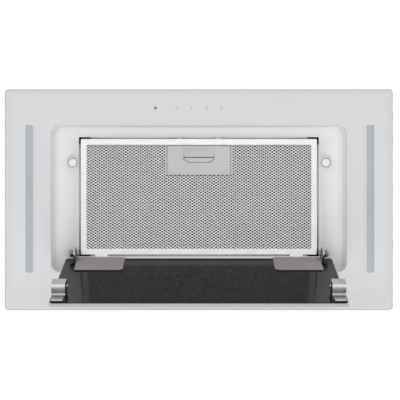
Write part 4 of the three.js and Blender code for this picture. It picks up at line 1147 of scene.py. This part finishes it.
def touchMarks():
    padLow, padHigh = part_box("touch_board")
    x, y = (padLow.x + padHigh.x) / 2, (padLow.y + padHigh.y) / 2
    dot, marks = bmesh.new(), bmesh.new()
    filmOn(dot, circle(touch["dotRadius"], x + touch["dot"], y, 8))
    standsFor(pieceOf("touch_dot", dot, "printed_dark"), "hood", "leaf_grey")
    sun = Vector((x + touch["sun"], y))
    filmOn(marks, circle(touch["sunRadius"], sun.x, sun.y, 8))
    for index in range(touch["rays"]):
        angle = 2 * math.pi * index / touch["rays"]
        out = Vector((math.cos(angle), math.sin(angle)))
        side = Vector((-out.y, out.x)) * touch["rayWidth"] / 2
        near, far = (sun + out * end for end in touch["rayEnds"])
        filmOn(marks, [near - side, far - side, far + side, near + side])
    for digit, offset in touch["digits"].items():
        digitOn(marks, digit, (x + offset, y, faceLow.z))
    bmesh.ops.remove_doubles(marks, verts=marks.verts, dist=0.000001)
    standsFor(pieceOf("touch_digits", marks, "printed_grey"), "hood", "latch_grey")


touchMarks()
print("touch marks made")


# screws that hold the outlet plate to the roof of the body
screw = {
    "head": [(0, 0), (0.0012, 0), (0.0016, 0.0003), (0.0018, 0.0006)],  # height and inset
    "radius": 0.0036,
    "steps": 5,
    "inset": 0.009,  # from the edges of the plate
    "slot": (0.0044, 0.0009, 0.0007),
}


def outletScrew(bm, x, y, z):
    length, width, depth = screw["slot"]
    long, wide = length / 2, width / 2
    top = z + screw["head"][-1][0]
    head = []
    for rise, inset in screw["head"]:
        head.append(ring(bm, circle(screw["radius"] - inset, x, y, screw["steps"]), z + rise))
    walls(bm, head)
    half = [(wide, wide), (wide, long), (-wide, long), (-wide, wide), (-long, wide), (-long, -wide)]
    cross = [Vector((x + sign * a, y + sign * b)) for sign in (1, -1) for a, b in half]
    rim = [ring(bm, cross, top - fall) for fall in (0, depth)]
    wall(bm, *rim)
    cap(bm, [head[0]], False)
    cap(bm, [head[-1], rim[0]], True)
    cap(bm, [rim[1]], True)


def outletScrews():
    low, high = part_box("outlet_plate")
    inset = screw["inset"]
    bm = bmesh.new()
    for x in (low.x + inset, high.x - inset):
        for y in (low.y + inset, high.y - inset):
            outletScrew(bm, x, y, high.z)
    standsFor(pieceOf("outlet_screws", bm, "stainless", smooth=40), "hood", "stainless")


outletScrews()
print("outlet screws made")


# the rest of the pieces keep their shape and get their finish
def finishNodes():
    for part in frame["record"]["subparts"]:
        piece = nodes[part["node"]]
        piece.data.materials.clear()
        piece.data.materials.append(finishes[part["material_slot"]])


rounding = {"angle": math.radians(28), "flat": math.radians(0.6), "weld": 0.00001, "segments": 2}


def soften(name, width):  # rounds the edges a little
    piece = nodes[name]
    for polygon in piece.data.polygons:
        polygon.use_smooth = True
    weld = piece.modifiers.new("weld", "WELD")
    weld.merge_threshold = rounding["weld"]
    flat = piece.modifiers.new("flat", "DECIMATE")
    flat.decimate_type = "DISSOLVE"
    flat.angle_limit = rounding["flat"]
    edge = piece.modifiers.new("edge", "BEVEL")
    edge.width = width
    edge.segments = rounding["segments"]
    edge.limit_method = "ANGLE"
    edge.angle_limit = rounding["angle"]
    edge.harden_normals = True
    edge.use_clamp_overlap = True


finishNodes()
edged = {  # by the width of the edge
    0.0002: ["flap_pin", "scroll_wrap", "scroll_side_left", "scroll_side_right"],
    0.0003: ["cable_gland", "flap_rear", "flap_front"],
    0.0004: ["outlet_collar"],
    0.0005: ["outlet_plate", "motor_capacitor"],
    0.0006: ["blower_motor"],
    0.0008: ["control_box"],
}
for side in ("left", "right"):
    edged[0.0002] += [f"hinge_screw_{side}", f"catch_screw_{side}"]
    edged[0.0003] += [f"hinge_ear_{side}", f"hinge_nut_{side}", f"catch_block_{side}"]
    for kind, finish in (("nut", "bright_screw"), ("screw", "bright_screw"), ("ear", "bright_ear")):
        nodes[f"hinge_{kind}_{side}"].data.materials[0] = finishes[finish]
for width, names in edged.items():
    for name in names:
        soften(name, width)
print("edges rounded on", sum(len(names) for names in edged.values()), "pieces")
